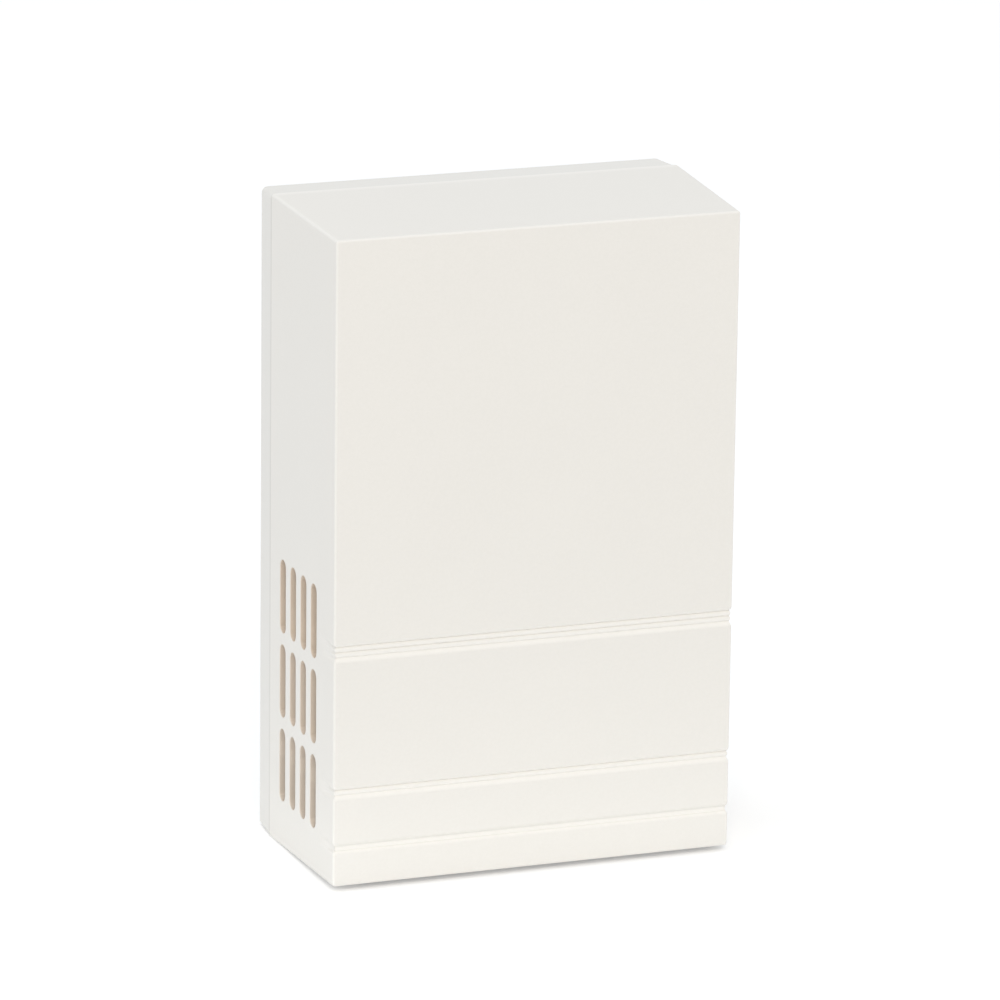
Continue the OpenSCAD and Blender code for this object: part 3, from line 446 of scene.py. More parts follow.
def cover_shell(s):
    """The cover as one closed wall: an outer sheet with grooves, an inner sheet, a rim along the back edge,
    and the walls of the slots. A slot's cell is cut from both sheets, and rings run from its edge over a
    rounded lip to the slot's outline, which lies half a slot's width from the slot's spine, and through the
    wall. Also gives three masks of painted light for each point: painted shade on the slots' walls, 1 in the
    highest row and less in each row below; painted highlight in the grooves, up to 1 by their share of it;
    and painted highlight along the edges, 1 halfway round them and along the back edge of the top and the
    bottom."""
    low, high = box("front_cover")
    half_width, half_height, back = (high[0] - low[0]) / 2, (high[2] - low[2]) / 2, high[1]
    whole = high[1] - low[1]
    taper = math.tan(s.draft)
    bottom = -half_height

    first, last = s.slot_back - s.slot_pitch / 2, s.slot_back + s.slot_pitch * (s.slot_columns - 0.5)
    cell_steps, tail_steps, back_shares = 10, 20, np.array([0, 0.08, 0.5])
    cells = np.linspace(first, last, cell_steps * s.slot_columns + 1)
    depths = np.concatenate([first * back_shares, cells,
                             np.linspace(last, whole - s.corner_radius, tail_steps)[1:]])
    tail = depths > last
    inner_end = whole - s.front_wall - s.inner_radius
    inner_depths = np.where(tail, last + (depths - last) * (inner_end - last) / (depths[-1] - last), depths)

    straight = (s.slot_length - s.slot_width) / 2
    middles = bottom + s.slot_rise + s.slot_length / 2 + s.slot_row_pitch * np.arange(s.slot_rows)
    borders = middles[0] + s.slot_row_pitch * (np.arange(s.slot_rows + 1) - 0.5)
    upper = np.array([0.25, 0.5, 0.72, 0.78, 0.84, 0.9, 0.95])
    share = np.concatenate([-upper[::-1], [0], upper])
    slot_rows = (middles[:, None] + share[None] * s.slot_row_pitch / 2).ravel()
    margin, plain_count, slot_gap, plain_gap = 0.003, 22, 0.00015, 0.0012
    plain = np.linspace(bottom + margin, half_height - margin, plain_count)
    kept = np.unique(np.concatenate([groove_heights(bottom, s), borders]).round(8))
    rows = thinned(plain, thinned(slot_rows, kept, slot_gap), plain_gap)

    phi = np.linspace(0, np.pi / 2, EDGE_STEPS + 1)
    ends = np.ones(len(phi))
    turn = np.concatenate([phi[::-1], np.zeros(len(rows)), phi])
    end = np.concatenate([-ends, np.zeros(len(rows)), ends])
    level = np.concatenate([np.zeros(len(phi)), rows, np.zeros(len(phi))])

    along = plan_outline(half_width, taper, s.corner_radius, depths[None])[1][0]
    room = s.groove_depth * np.clip(1 - (whole - along) / s.groove_run, 0, 1)
    cut, highlight_share = groove_depths(level, bottom, s)
    sink = np.where(end[:, None] == 0, np.minimum(cut[:, None], room[None]), 0)
    outer = carried_sheet(half_width, half_height, taper, s.corner_radius, (s.side_radius, s.edge_radius),
                          depths, turn, end, level, sink, back)
    inner = carried_sheet(half_width - s.wall, half_height - s.wall, taper, s.inner_radius,
                          (s.inner_radius, s.inner_radius), inner_depths, turn, end, level,
                          np.zeros_like(sink), back)

    count, across = outer.shape[:2]
    grid = np.arange(count * across).reshape(count, across)
    other = grid + grid.size
    hair = 1e-7
    row_of = len(phi) + np.searchsorted(rows, borders - hair)
    column_of = np.searchsorted(depths, first + s.slot_pitch * np.arange(s.slot_columns + 1) - hair)
    keep = np.ones((count - 1, across - 1), bool)
    keep[row_of[0]:row_of[-1], column_of[0]:column_of[-1]] = False
    keep[row_of[0]:row_of[-1], across - 1 - column_of[-1]:across - 1 - column_of[0]] = False
    j, i = np.nonzero(keep)
    quads = [np.stack([grid[j, i], grid[j, i + 1], grid[j + 1, i + 1], grid[j + 1, i]], axis=-1),
             np.stack([other[j, i + 1], other[j, i], other[j + 1, i], other[j + 1, i + 1]], axis=-1)]

    left, right = (grid[:, 0], other[:, 0]), (grid[:, -1], other[:, -1])
    quads.append(np.stack([left[0][:-1], left[0][1:], left[1][1:], left[1][:-1]], axis=-1))
    quads.append(np.stack([right[0][1:], right[0][:-1], right[1][:-1], right[1][1:]], axis=-1))
    quads.append(np.array([[grid[-1, 0], grid[-1, -1], other[-1, -1], other[-1, 0]],
                           [grid[0, -1], grid[0, 0], other[0, 0], other[0, -1]]]))
    near = len(depths) + CORNER_STEPS - 1
    k = np.arange(near)
    caps = []
    for sheet, flip in ((grid, 1), (other, -1)):
        for edge, way in ((sheet[-1], flip), (sheet[0], -flip)):
            ladder = [edge[k], edge[k + 1], edge[across - 2 - k], edge[across - 1 - k]]
            quads.append(np.stack(ladder, axis=-1)[:, ::way])
            caps.append(edge[near:across - near][::way].tolist())

    lip_rings = 4
    bend = np.linspace(0, np.pi / 2, lip_rings)
    beyond = np.concatenate([s.slot_edge * (1 - np.sin(bend)), [0]])[:, None] + s.slot_width / 2
    within = np.concatenate([s.slot_edge * (1 - np.cos(bend)), [s.wall]])[:, None]
    points, start = [outer.reshape(-1, 3), inner.reshape(-1, 3)], 2 * grid.size
    slot_shade = [np.zeros(start)]
    in_x, in_depth = plan_normals(len(depths))
    # Painted highlight in the grooves, weaker on the sides than on the front.
    shine = s.side_highlight + (1 - s.side_highlight) * np.abs(in_depth)
    groove_highlight = (highlight_share[:, None] * shine[None] * np.clip(sink / s.rib_drop, 0, 1)).ravel()
    # Painted highlight halfway round the edges and along the back edge of the top and the bottom.
    round_corner = 2 * np.abs(in_x * in_depth)
    edge_highlight = np.maximum(round_corner[None], np.sin(2 * turn)[:, None])
    edge_highlight[np.ix_([0, -1], [0, 1, -2, -1])] = 1
    edge_highlight = edge_highlight.ravel()
    for side in (-1, 1):
        for column in range(s.slot_columns):
            left_edge, right_edge = column_of[column], column_of[column + 1]
            if side > 0:
                left_edge, right_edge = across - 1 - right_edge, across - 1 - left_edge
            for row in range(s.slot_rows):
                around = cell_loop(row_of[row], row_of[row + 1], left_edge, right_edge)
                depth, height = along[around[1]], level[around[0]] - middles[row]
                spine = np.clip(height, -straight, straight)
                away = np.stack([depth - s.slot_back - s.slot_pitch * column, height - spine])
                away /= np.linalg.norm(away, axis=0)
                ring_depth = s.slot_back + s.slot_pitch * column + away[0] * beyond
                ring_height = middles[row] + spine + away[1] * beyond
                ring_x = side * (half_width - taper * ring_depth - within)
                points.append(np.stack([ring_x, back - ring_depth, ring_height], axis=-1).reshape(-1, 3))
                # Painted shade on the slot's walls, less in each row below the highest.
                shade = (1 - s.slot_shade_fade * (s.slot_rows - 1 - row)) * np.minimum(within / s.slot_edge, 1)
                slot_shade.append(np.broadcast_to(shade, ring_x.shape).ravel())
                rings = start + np.arange(ring_x.size).reshape(ring_x.shape)
                start += ring_x.size
                quads.append(strips([grid[around], *rings, other[around]]))

    shape = np.concatenate(points), np.concatenate(quads).tolist() + caps
    slot_shade = np.concatenate(slot_shade)
    rest = (0, len(slot_shade) - grid.size)
    return shape, {"slot_shade": slot_shade, "groove_highlight": np.pad(groove_highlight, rest), "edge_highlight": np.pad(edge_highlight, rest)}


def cover_ribs(s):
    """Two soft-edged ribs behind the front and a soft-edged key inside the top and the bottom, rooted in the
    wall."""
    low, high = box("front_cover")
    half_height, taper = (high[2] - low[2]) / 2, math.tan(s.draft)
    root, rib_edge, key_edge = 0.0006, 0.0003, 0.0002
    front = low[1] + s.front_wall
    made = []
    for side in (-1, 1):
        x = side * s.rib_place
        made.append(soft_block([x - s.rib_thickness / 2, front - root, -half_height + s.rib_end_gap],
                               [x + s.rib_thickness / 2, front + s.rib_height, half_height - s.rib_end_gap],
                               rib_edge))
        outer = half_height - s.wall - taper * s.key_length + root
        inner = half_height - s.wall - taper * (s.key_gap + s.key_length) - s.key_height
        heights = sorted((side * outer, side * inner))
        made.append(soft_block([-s.key_width / 2, high[1] - s.key_gap - s.key_length, heights[0]],
                               [s.key_width / 2, high[1] - s.key_gap, heights[1]], key_edge))
    return joined(*made)


# Coil, spring and leads

def winding(s):
    """A turned ring whose outside is a row of half rounds, one for each turn of the outer layer's wire."""
    low, high = box("coil_winding")
    middle, radius = (low + high) / 2, (high[2] - low[2]) / 2
    turns = int((high[0] - low[0]) / s.coil_wire)
    wire = (high[0] - low[0]) / turns
    arc_steps, sides = 5, 96
    angle = np.linspace(0, np.pi, arc_steps, endpoint=False)
    along = (np.arange(turns)[:, None] * wire + wire / 2 * (1 - np.cos(angle))[None]).ravel()
    bulge = np.tile(wire / 2 * np.sin(angle), turns) - wire / 2
    outside = np.stack([low[0] + np.append(along, high[0] - low[0]), radius + np.append(bulge, -wire / 2)],
                       axis=-1)
    inside = np.array([[high[0], s.bobbin_wall_radius], [low[0], s.bobbin_wall_radius]])
    profile = np.concatenate([outside, inside])
    return ring_of_rings(turned_rings(profile, [0, middle[1], middle[2]], 0, sides))


def tape_wrap(s):
    """A thin strip wound on a spiral: its radius grows by one layer a turn, so the loose end lies on the
    first turn."""
    low, high = box("coil_tape")
    middle, outside = (low + high) / 2, (high[2] - low[2]) / 2
    turns, steps, start = 1.93, 240, math.radians(128)
    turn = np.linspace(0, 2 * np.pi * turns, steps)
    radius = outside - s.tape_layer * (turns - turn / (2 * np.pi)) - s.tape_layer / 2
    out = np.stack([np.zeros_like(turn), np.cos(turn + start), np.sin(turn + start)], axis=-1)
    slack = 0.96
    width, half = (high[0] - low[0]) / 2, s.tape_layer / 2 * slack
    section = np.array([[-1, -0.6], [-0.996, -1], [0.996, -1], [1, -0.6],
                        [1, 0.6], [0.996, 1], [-0.996, 1], [-1, 0.6]])
    rings = radius[:, None, None] * out[:, None] + section[None, :, 1:] * half * out[:, None]
    rings = rings + section[None, :, :1] * np.array([width, 0, 0])
    return closed_rings(rings + middle)


def spring_coil(s):
    """A wire on a helix about the plunger's axis: slow rise in the closed curls at both ends, an even pitch
    between. Also gives the places of its two seats."""
    low, high = box("return_spring")
    seat, frame_end = box("low_striker_tip")[1][0], box("solenoid_frame")[0][0]
    middle = (low + high) / 2
    radius = (high[2] - low[2]) / 2 - s.spring_wire / 2
    off_seat, closed_pitch, curl_steps, blur, sides, end_taper = 0.62, 1.08, 40, 13, 14, 0.8
    first, last = seat + s.spring_wire * off_seat, frame_end - s.spring_wire * off_seat
    curls = s.spring_turns + 2 * s.spring_closed
    turn = np.linspace(0, curls, int(curls * curl_steps) + 1)
    knots = [0, s.spring_closed, curls - s.spring_closed, curls]
    rise = s.spring_wire * closed_pitch * s.spring_closed
    along = np.interp(turn, knots, [first, first + rise, last - rise, last])
    along = np.convolve(np.pad(along, blur // 2, mode="edge"), np.ones(blur) / blur, mode="valid")
    angle = 2 * np.pi * turn
    path = np.stack([along, middle[1] + radius * np.cos(angle), middle[2] + radius * np.sin(angle)], axis=-1)
    out = np.stack([np.zeros_like(angle), np.cos(angle), np.sin(angle)], axis=-1)
    thick = np.full(len(path), s.spring_wire / 2)
    thick[[0, -1]] *= end_taper
    seats = [(x, middle[1], middle[2]) for x in (seat, frame_end)]
    return closed_rings(tube_rings(path, out, thick, sides)), *seats


def lead_path(s, side):
    """Middle line of a lead: straight down from its pin, across in one bend, straight into its terminal. Also
    gives the pin's end."""
    pin_low, pin_high = box("bobbin_pins")
    block_high = box("terminal_block")[1]
    insert_low, insert_high = box("terminal_inserts")
    pin_radius = (pin_high[0] - pin_low[0]) / 2
    insert_radius = (insert_high[1] - insert_low[1]) / 2
    cad_high = box("coil_lead_a" if side > 0 else "coil_lead_b")[1]
    overlap, drop, swing, bend, steps = 0.0004, 0.18, 0.2, 0.42, 14
    pin = np.array([(pin_low[0] + pin_high[0]) / 2,
                    pin_high[1] - pin_radius if side > 0 else pin_low[1] + pin_radius,
                    pin_low[2] + overlap])
    pole = np.array([side * (insert_high[0] - insert_radius), cad_high[1] - s.lead_radius, block_high[2]])
    fall = np.array([0, 0, pin[2] - pole[2]])
    near_pin, near_pole = pin + swing * (pole - pin), pole + swing * (pin - pole)
    near_pin[2], near_pole[2] = pin[2] - bend * fall[2], pole[2] + bend * fall[2]
    knots = [pin, pin - drop * fall, near_pin, near_pole, pole + drop * fall, pole, pole - [0, 0, s.lead_in]]
    return smooth_path(knots, steps), pin


def insulated_lead(s, side):
    """A round section carried along the lead's path, drawn in a little at both ends."""
    path = lead_path(s, side)[0]
    end_taper, sides = 0.86, 20
    thick = np.full(len(path), s.lead_radius)
    thick[[0, -1]] *= end_taper
    return closed_rings(tube_rings(path, np.array([[1.0, 0, 0]]), thick, sides))


def solder_joint(s, side):
    """A turned bead round the pin's end: thin on the pin, full in the middle, drawn onto the lead's end."""
    pin = lead_path(s, side)[1]
    pin_low, pin_high = box("bobbin_pins")
    pin_radius = (pin_high[0] - pin_low[0]) / 2
    up_pin, down_lead, steps, sides = 0.0019, 0.0006, 15, 24
    thin, lead_end = pin_radius * 1.03, s.lead_radius * 0.95
    share = np.linspace(0, 1, steps)
    height = up_pin * (1 - share) - down_lead * share
    swell = np.sin(np.pi * share ** 0.7) ** 0.8
    radius = np.maximum(thin + (lead_end - pin_radius) * share, thin + (s.solder_radius - pin_radius) * swell)
    return closed_rings(turned_rings(np.stack([height, radius], axis=-1), pin, 2, sides))


# Finishes

def begin(name):
    """A new material with its node tree and shader."""
    material = bpy.data.materials.new(name)
    material.use_nodes = True
    return material, material.node_tree, material.node_tree.nodes["Principled BSDF"]


def dress(tree, shader, tone, gloss, normal=None, metal=0.0):
    """Gives a shader its colour, its roughness, its relief and its share of metal."""
    tree.links.new(tone, shader.inputs["Base Color"])
    tree.links.new(gloss, shader.inputs["Roughness"])
    if normal:
        tree.links.new(normal, shader.inputs["Normal"])
    shader.inputs["Metallic"].default_value = metal


def pattern(tree, kind, scale, stretch=(1.0, 1.0, 1.0), **values):
    """A texture that reads Object coordinates through a Mapping node."""
    place = tree.nodes.new("ShaderNodeTexCoord")
    mapping = tree.nodes.new("ShaderNodeMapping")
    mapping.inputs["Scale"].default_value = stretch
    node = tree.nodes.new(kind)
    node.inputs["Scale"].default_value = scale
    for key, value in values.items():
        node.inputs[key].default_value = value
    tree.links.new(place.outputs["Object"], mapping.inputs["Vector"])
    tree.links.new(mapping.outputs["Vector"], node.inputs["Vector"])
    return node


def noise(tree, scale, detail=3.0, stretch=(1.0, 1.0, 1.0)):
    return pattern(tree, "ShaderNodeTexNoise", scale, stretch, Detail=detail).outputs["Fac"]


def shades(tree, factor, dark, light, low=0.35, high=0.65):
    """A colour between two shades, by a factor."""
    ramp = tree.nodes.new("ShaderNodeValToRGB")
    ramp.color_ramp.elements[0].position = low
    ramp.color_ramp.elements[1].position = high
    ramp.color_ramp.elements[0].color = (*dark, 1)
    ramp.color_ramp.elements[1].color = (*light, 1)
    tree.links.new(factor, ramp.inputs["Fac"])
    return ramp.outputs["Color"]


def between(tree, factor, low, high, start=0.3, end=0.7):
    """A value between two limits, by a factor that runs between two places."""
    node = tree.nodes.new("ShaderNodeMapRange")
    node.inputs["From Min"].default_value = start
    node.inputs["From Max"].default_value = end
    node.inputs["To Min"].default_value = low
    node.inputs["To Max"].default_value = high
    tree.links.new(factor, node.inputs["Value"])
    return node.outputs["Result"]


def multiplied(tree, one, two):
    """Two colours multiplied."""
    node = tree.nodes.new("ShaderNodeMix")
    node.data_type = "RGBA"
    node.blend_type = "MULTIPLY"
    node.inputs["Factor"].default_value = 1
    tree.links.new(one, node.inputs["A"])
    tree.links.new(two, node.inputs["B"])
    return node.outputs["Result"]


def mixed(tree, factor, base, colour):
    """A colour laid over another one, by a factor."""
    node = tree.nodes.new("ShaderNodeMix")
    node.data_type = "RGBA"
    node.inputs["B"].default_value = (*colour, 1)
    tree.links.new(factor, node.inputs["Factor"])
    tree.links.new(base, node.inputs["A"])
    return node.outputs["Result"]


def relief(tree, height, depth, strength, below=None):
    """Bump of the given depth, on top of another bump if there is one."""
    node = tree.nodes.new("ShaderNodeBump")
    node.inputs["Distance"].default_value = depth
    node.inputs["Strength"].default_value = strength
    tree.links.new(height, node.inputs["Height"])
    if below:
        tree.links.new(below, node.inputs["Normal"])
    return node.outputs["Normal"]


def tones(colour, down, up):
    return tuple(c * down for c in colour), tuple(min(1, c * up) for c in colour)


def seam_shade_mask(tree, seam, half_width):
    """Mask of painted shade: 1 along a part's seam on its two upright sides, 0 elsewhere: a product of two
    slopes, one along Y to the seam and one along X just inside the sides."""
    clean, full, inside, outside = 0.0016, 0.0006, 0.0016, 0.0012
    place = tree.nodes.new("ShaderNodeTexCoord")
    split = tree.nodes.new("ShaderNodeSeparateXYZ")
    tree.links.new(place.outputs["Object"], split.inputs["Vector"])
    out = tree.nodes.new("ShaderNodeMath")
    out.operation = "ABSOLUTE"
    tree.links.new(split.outputs["X"], out.inputs[0])
    both = tree.nodes.new("ShaderNodeMath")
    both.operation = "MULTIPLY"
    near = between(tree, split.outputs["Y"], 0, 1, seam + clean, seam + full)
    beside = between(tree, out.outputs["Value"], 0, 1, half_width - inside, half_width - outside)
    tree.links.new(near, both.inputs[0])
    tree.links.new(beside, both.inputs[1])
    return both.outputs["Value"]


def moulded(name, colour, marked=(), dust_and_seam_shade=None):
    """Moulded plastic: spark-eroded grain from the mould, faint flow shades, satin gloss that varies with the
    grain. Surfaces that are marked by an attribute of the mesh take a colour of their own, on the cover
    painted shade in the slots and painted highlight in the grooves and along the edges, and painted shade
    lies along the seam where a colour is given for it."""
    material, tree, shader = begin(name)
    fine, broad = noise(tree, 1500, 2), noise(tree, 38, 2)
    tone = shades(tree, broad, *tones(colour, 0.996, 1.002))
    for attribute, own in marked:
        mark = tree.nodes.new("ShaderNodeAttribute")
        mark.attribute_name = attribute
        tone = mixed(tree, mark.outputs["Fac"], tone, own)
    # Painted shade along the seam.
    if dust_and_seam_shade:
        high = box("front_cover")[1]
        tone = mixed(tree, seam_shade_mask(tree, high[1], high[0]), tone, dust_and_seam_shade)
    speck = shades(tree, fine, (0.988, 0.988, 0.986), WHITE)
    swell = relief(tree, noise(tree, 160, 1), 0.00004, 0.12)
    dress(tree, shader, multiplied(tree, tone, speck), between(tree, fine, 0.40, 0.50),
          relief(tree, fine, 0.00003, 0.22, swell))
    return material


def waxy(name, colour, rough=(0.3, 0.42)):
    """Nylon: smoother than the case, with cloudy shades and faint flow lines."""
    material, tree, shader = begin(name)
    cloud, flow = noise(tree, 260, 4), noise(tree, 900, 2, (1, 1, 0.15))
    dress(tree, shader, shades(tree, cloud, *tones(colour, 0.93, 1.03)), between(tree, cloud, *rough),
          relief(tree, flow, 0.00002, 0.25))
    shader.inputs["Subsurface Weight"].default_value = 0.3
    shader.inputs["Subsurface Radius"].default_value = (1.0, 0.8, 0.55)
    shader.inputs["Subsurface Scale"].default_value = 0.001
    return material


def rolled(name, colour, stretch):
    """Bright rolled steel: long fine lines along the rolling direction and faint handling marks."""
    material, tree, shader = begin(name)
    lines, marks = noise(tree, 900, 4, stretch), noise(tree, 120, 5)
    tone = shades(tree, lines, *tones(colour, 0.86, 1.1))
    stain = shades(tree, marks, (0.86, 0.85, 0.83), WHITE, 0.3, 0.55)
    dress(tree, shader, multiplied(tree, tone, stain), between(tree, marks, 0.38, 0.22),
          relief(tree, lines, 0.00001, 0.35), metal=1)
    return material


def plated(name, colour, rough=(0.24, 0.4)):
    """Zinc plate: small crystals, a faint yellow passivation in patches, soft gloss."""
    material, tree, shader = begin(name)
    crystal = pattern(tree, "ShaderNodeTexVoronoi", 1300).outputs["Distance"]
    patch = noise(tree, 90, 4)
    tone = shades(tree, crystal, *tones(colour, 0.9, 1.06), 0.1, 0.8)
    cast = shades(tree, patch, (1.0, 0.96, 0.86), (0.97, 0.99, 1.0), 0.38, 0.62)
    dress(tree, shader, multiplied(tree, tone, cast), between(tree, patch, *rough),
          relief(tree, crystal, 0.000012, 0.3), metal=1)
    return material


def drawn(name, colour, stretch):
    """Drawn metal: fine lines along the drawing direction, with slight tarnish."""
    material, tree, shader = begin(name)
    lines, tarnish = noise(tree, 1400, 3, stretch), noise(tree, 200, 5)
    tone = shades(tree, lines, *tones(colour, 0.88, 1.08))
    dull = shades(tree, tarnish, (0.8, 0.77, 0.72), WHITE, 0.28, 0.5)
    dress(tree, shader, multiplied(tree, tone, dull), between(tree, tarnish, 0.36, 0.2),
          relief(tree, lines, 0.000008, 0.3), metal=1)
    return material


def enamelled(name, colour):
    """Enamelled wire: each turn a little lighter or darker, under a clear glossy coat."""
    material, tree, shader = begin(name)
    turns, patch = noise(tree, 700, 2, (4, 0.05, 0.05)), noise(tree, 150, 3)
    tone = shades(tree, turns, *tones(colour, 0.7, 1.15))
    uneven = shades(tree, patch, (0.85, 0.8, 0.75), WHITE)
    dress(tree, shader, multiplied(tree, tone, uneven), between(tree, patch, 0.26, 0.36), metal=0.85)
    shader.inputs["Coat Weight"].default_value = 0.6
    shader.inputs["Coat Roughness"].default_value = 0.12
    return material


def film(name, colour):
    """Polyester tape: glossy film with faint cross wrinkles over the turns below."""
    material, tree, shader = begin(name)
    below, wrinkle = noise(tree, 420, 2, (1, 0.12, 0.12)), noise(tree, 240, 3, (0.25, 1, 1))
    ridges = relief(tree, below, 0.00004, 0.3)
    dress(tree, shader, shades(tree, below, *tones(colour, 0.84, 1.06)), between(tree, wrinkle, 0.14, 0.26),
          relief(tree, wrinkle, 0.00006, 0.3, ridges))
    return material


def rubber(name, colour):
    """Moulded rubber: matt, with pale bloom and a fine grain."""
    material, tree, shader = begin(name)
    bloom, grain = noise(tree, 300, 5), noise(tree, 2600, 2)
    dress(tree, shader, shades(tree, bloom, *tones(colour, 0.8, 1.9), 0.4, 0.75),
          between(tree, bloom, 0.62, 0.8), relief(tree, grain, 0.00002, 0.4))
    return material


def insulation(name, colour):
    """Extruded insulation: soft gloss, slight ripples along the lead, dusty lighter patches."""
    material, tree, shader = begin(name)
    dust_and_seam_shade, ripple = noise(tree, 380, 4), noise(tree, 900, 2)
    dress(tree, shader, shades(tree, dust_and_seam_shade, *tones(colour, 0.85, 1.35)), between(tree, dust_and_seam_shade, 0.3, 0.46),
          relief(tree, ripple, 0.00004, 0.3))
    return material


def tinned(name, colour):
    """Solder: bright with frosty patches and a slightly uneven skin."""
    material, tree, shader = begin(name)
    frost, skin = noise(tree, 1500, 4), noise(tree, 900, 3)
    dress(tree, shader, shades(tree, frost, *tones(colour, 0.82, 1.08)), between(tree, frost, 0.18, 0.4),
          relief(tree, skin, 0.00008, 0.4), metal=1)
    return material


def coat(material, *nodes):
    """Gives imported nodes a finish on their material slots."""
    for name in nodes:
        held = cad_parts[name].data.materials
        held.clear()
        held.append(material)


# Stage

def floor_material():
    """White floor. Where it is seen, it is lifted just to white in full light, so that the shadow on it still
    shows; the light that it throws on the object stays plain."""
    material = bpy.data.materials.new("white_floor")
    material.use_nodes = True
    tree = material.node_tree
    tree.nodes.clear()
    out = tree.nodes.new("ShaderNodeOutputMaterial")
    matt = tree.nodes.new("ShaderNodeBsdfDiffuse")
    matt.inputs["Color"].default_value = (0.94, 0.94, 0.94, 1)
    lift = tree.nodes.new("ShaderNodeEmission")
    lift.inputs["Strength"].default_value = 0.205
    both = tree.nodes.new("ShaderNodeAddShader")
    pick = tree.nodes.new("ShaderNodeMixShader")
    tree.links.new(matt.outputs["BSDF"], both.inputs[0])
    tree.links.new(lift.outputs["Emission"], both.inputs[1])
    tree.links.new(seen_ray(tree), pick.inputs["Fac"])
    tree.links.new(matt.outputs["BSDF"], pick.inputs[1])
    tree.links.new(both.outputs["Shader"], pick.inputs[2])
    tree.links.new(pick.outputs["Shader"], out.inputs["Surface"])
    return material


def seen_ray(tree):
    """1 for rays from the camera and for rays seen in gloss or glass, 0 for light."""
    path = tree.nodes.new("ShaderNodeLightPath")
    one = tree.nodes.new("ShaderNodeMath")
    one.operation = "MAXIMUM"
    two = tree.nodes.new("ShaderNodeMath")
    two.operation = "MAXIMUM"
    tree.links.new(path.outputs["Is Camera Ray"], one.inputs[0])
    tree.links.new(path.outputs["Is Glossy Ray"], one.inputs[1])
    tree.links.new(one.outputs["Value"], two.inputs[0])
    tree.links.new(path.outputs["Is Transmission Ray"], two.inputs[1])
    return two.outputs["Value"]


def white_room(strength, left, right):
    """World that lights the object with a soft light, which passes to the given colours at the left and the
    right, and that shows white behind the object."""
    world = bpy.data.worlds.new("white_room")
    bpy.context.scene.world = world
    world.use_nodes = True
    tree = world.node_tree
    tree.nodes.clear()
    out = tree.nodes.new("ShaderNodeOutputWorld")
    place = tree.nodes.new("ShaderNodeTexCoord")
    split = tree.nodes.new("ShaderNodeSeparateXYZ")
    across = tree.nodes.new("ShaderNodeMapRange")
    across.inputs["From Min"].default_value = -1
    tree.links.new(place.outputs["Object"], split.inputs["Vector"])
    tree.links.new(split.outputs["X"], across.inputs["Value"])
    light = tree.nodes.new("ShaderNodeBackground")
    light.inputs["Strength"].default_value = strength
    shade = shades(tree, across.outputs["Result"], left, right, 0, 1)
    middle = shade.node.color_ramp.elements.new(0.5)
    middle.color = (0.975, 0.99, 1, 1)
    tree.links.new(shade, light.inputs["Color"])
    show = tree.nodes.new("ShaderNodeBackground")
    show.inputs["Color"].default_value = (1, 1, 1, 1)
    show.inputs["Strength"].default_value = 1
    pick = tree.nodes.new("ShaderNodeMixShader")
    tree.links.new(seen_ray(tree), pick.inputs["Fac"])
    tree.links.new(light.outputs["Background"], pick.inputs[1])
    tree.links.new(show.outputs["Background"], pick.inputs[2])
    tree.links.new(pick.outputs["Shader"], out.inputs["Surface"])


def softbox(name, place, target, size, watts, colour):
    """A soft rectangular lamp that looks at a target and isn't seen itself."""
    data = bpy.data.lights.new(name, "AREA")
    data.shape = "RECTANGLE"
    data.size, data.size_y = size
    data.energy = watts
    data.color = colour
    lamp = bpy.data.objects.new(name, data)
    bpy.context.scene.collection.objects.link(lamp)
    lamp.location = place
    lamp.rotation_mode = "QUATERNION"
    lamp.rotation_quaternion = (Vector(target) - Vector(place)).to_track_quat("-Z", "Y")
    lamp.visible_camera = False


def white_floor(height):
    """A level square sheet of even quads at the given height."""
    half_side, count = 6.0, 25
    line = np.linspace(-half_side, half_side, count)
    x, y = np.meshgrid(line, line)
    points = np.stack([x, y, np.full_like(x, height)], axis=-1).reshape(-1, 3)
    index = np.arange(count * count).reshape(count, count)
    corners = [index[:-1, :-1], index[:-1, 1:], index[1:, 1:], index[1:, :-1]]
    mesh = bpy.data.meshes.new("floor")
    mesh.from_pydata(points.tolist(), [], np.stack(corners, axis=-1).reshape(-1, 4).tolist())
    mesh.materials.append(floor_material())
    floor = bpy.data.objects.new("floor", mesh)
    bpy.context.scene.collection.objects.link(floor)
    return floor


def photo_camera():
    """Camera at the photograph's viewing angle: turned by yaw, dipped by pitch, rolled about its own axis."""
    yaw, pitch, roll = -0.352566, 0.277754, -0.012566
    right = np.array([math.cos(yaw), math.sin(yaw), 0])
    ahead = np.array([-math.sin(yaw) * math.cos(pitch), math.cos(yaw) * math.cos(pitch), -math.sin(pitch)])
    down = np.cross(ahead, right)
    level = right * math.cos(roll) + down * math.sin(roll)
    dip = down * math.cos(roll) - right * math.sin(roll)
    data = bpy.data.cameras.new("photo_camera")
    data.sensor_width = 36
    data.lens = 254.747
    data.clip_start, data.clip_end = 0.05, 50
    camera = bpy.data.objects.new("photo_camera", data)
    bpy.context.scene.collection.objects.link(camera)
    turned = np.stack([level, -dip, -ahead], axis=1)
    place = Matrix.Translation((-0.470221, -1.302038, 0.392816))
    camera.matrix_world = place @ Matrix(turned.tolist()).to_4x4()
    bpy.context.scene.camera = camera


# Operators

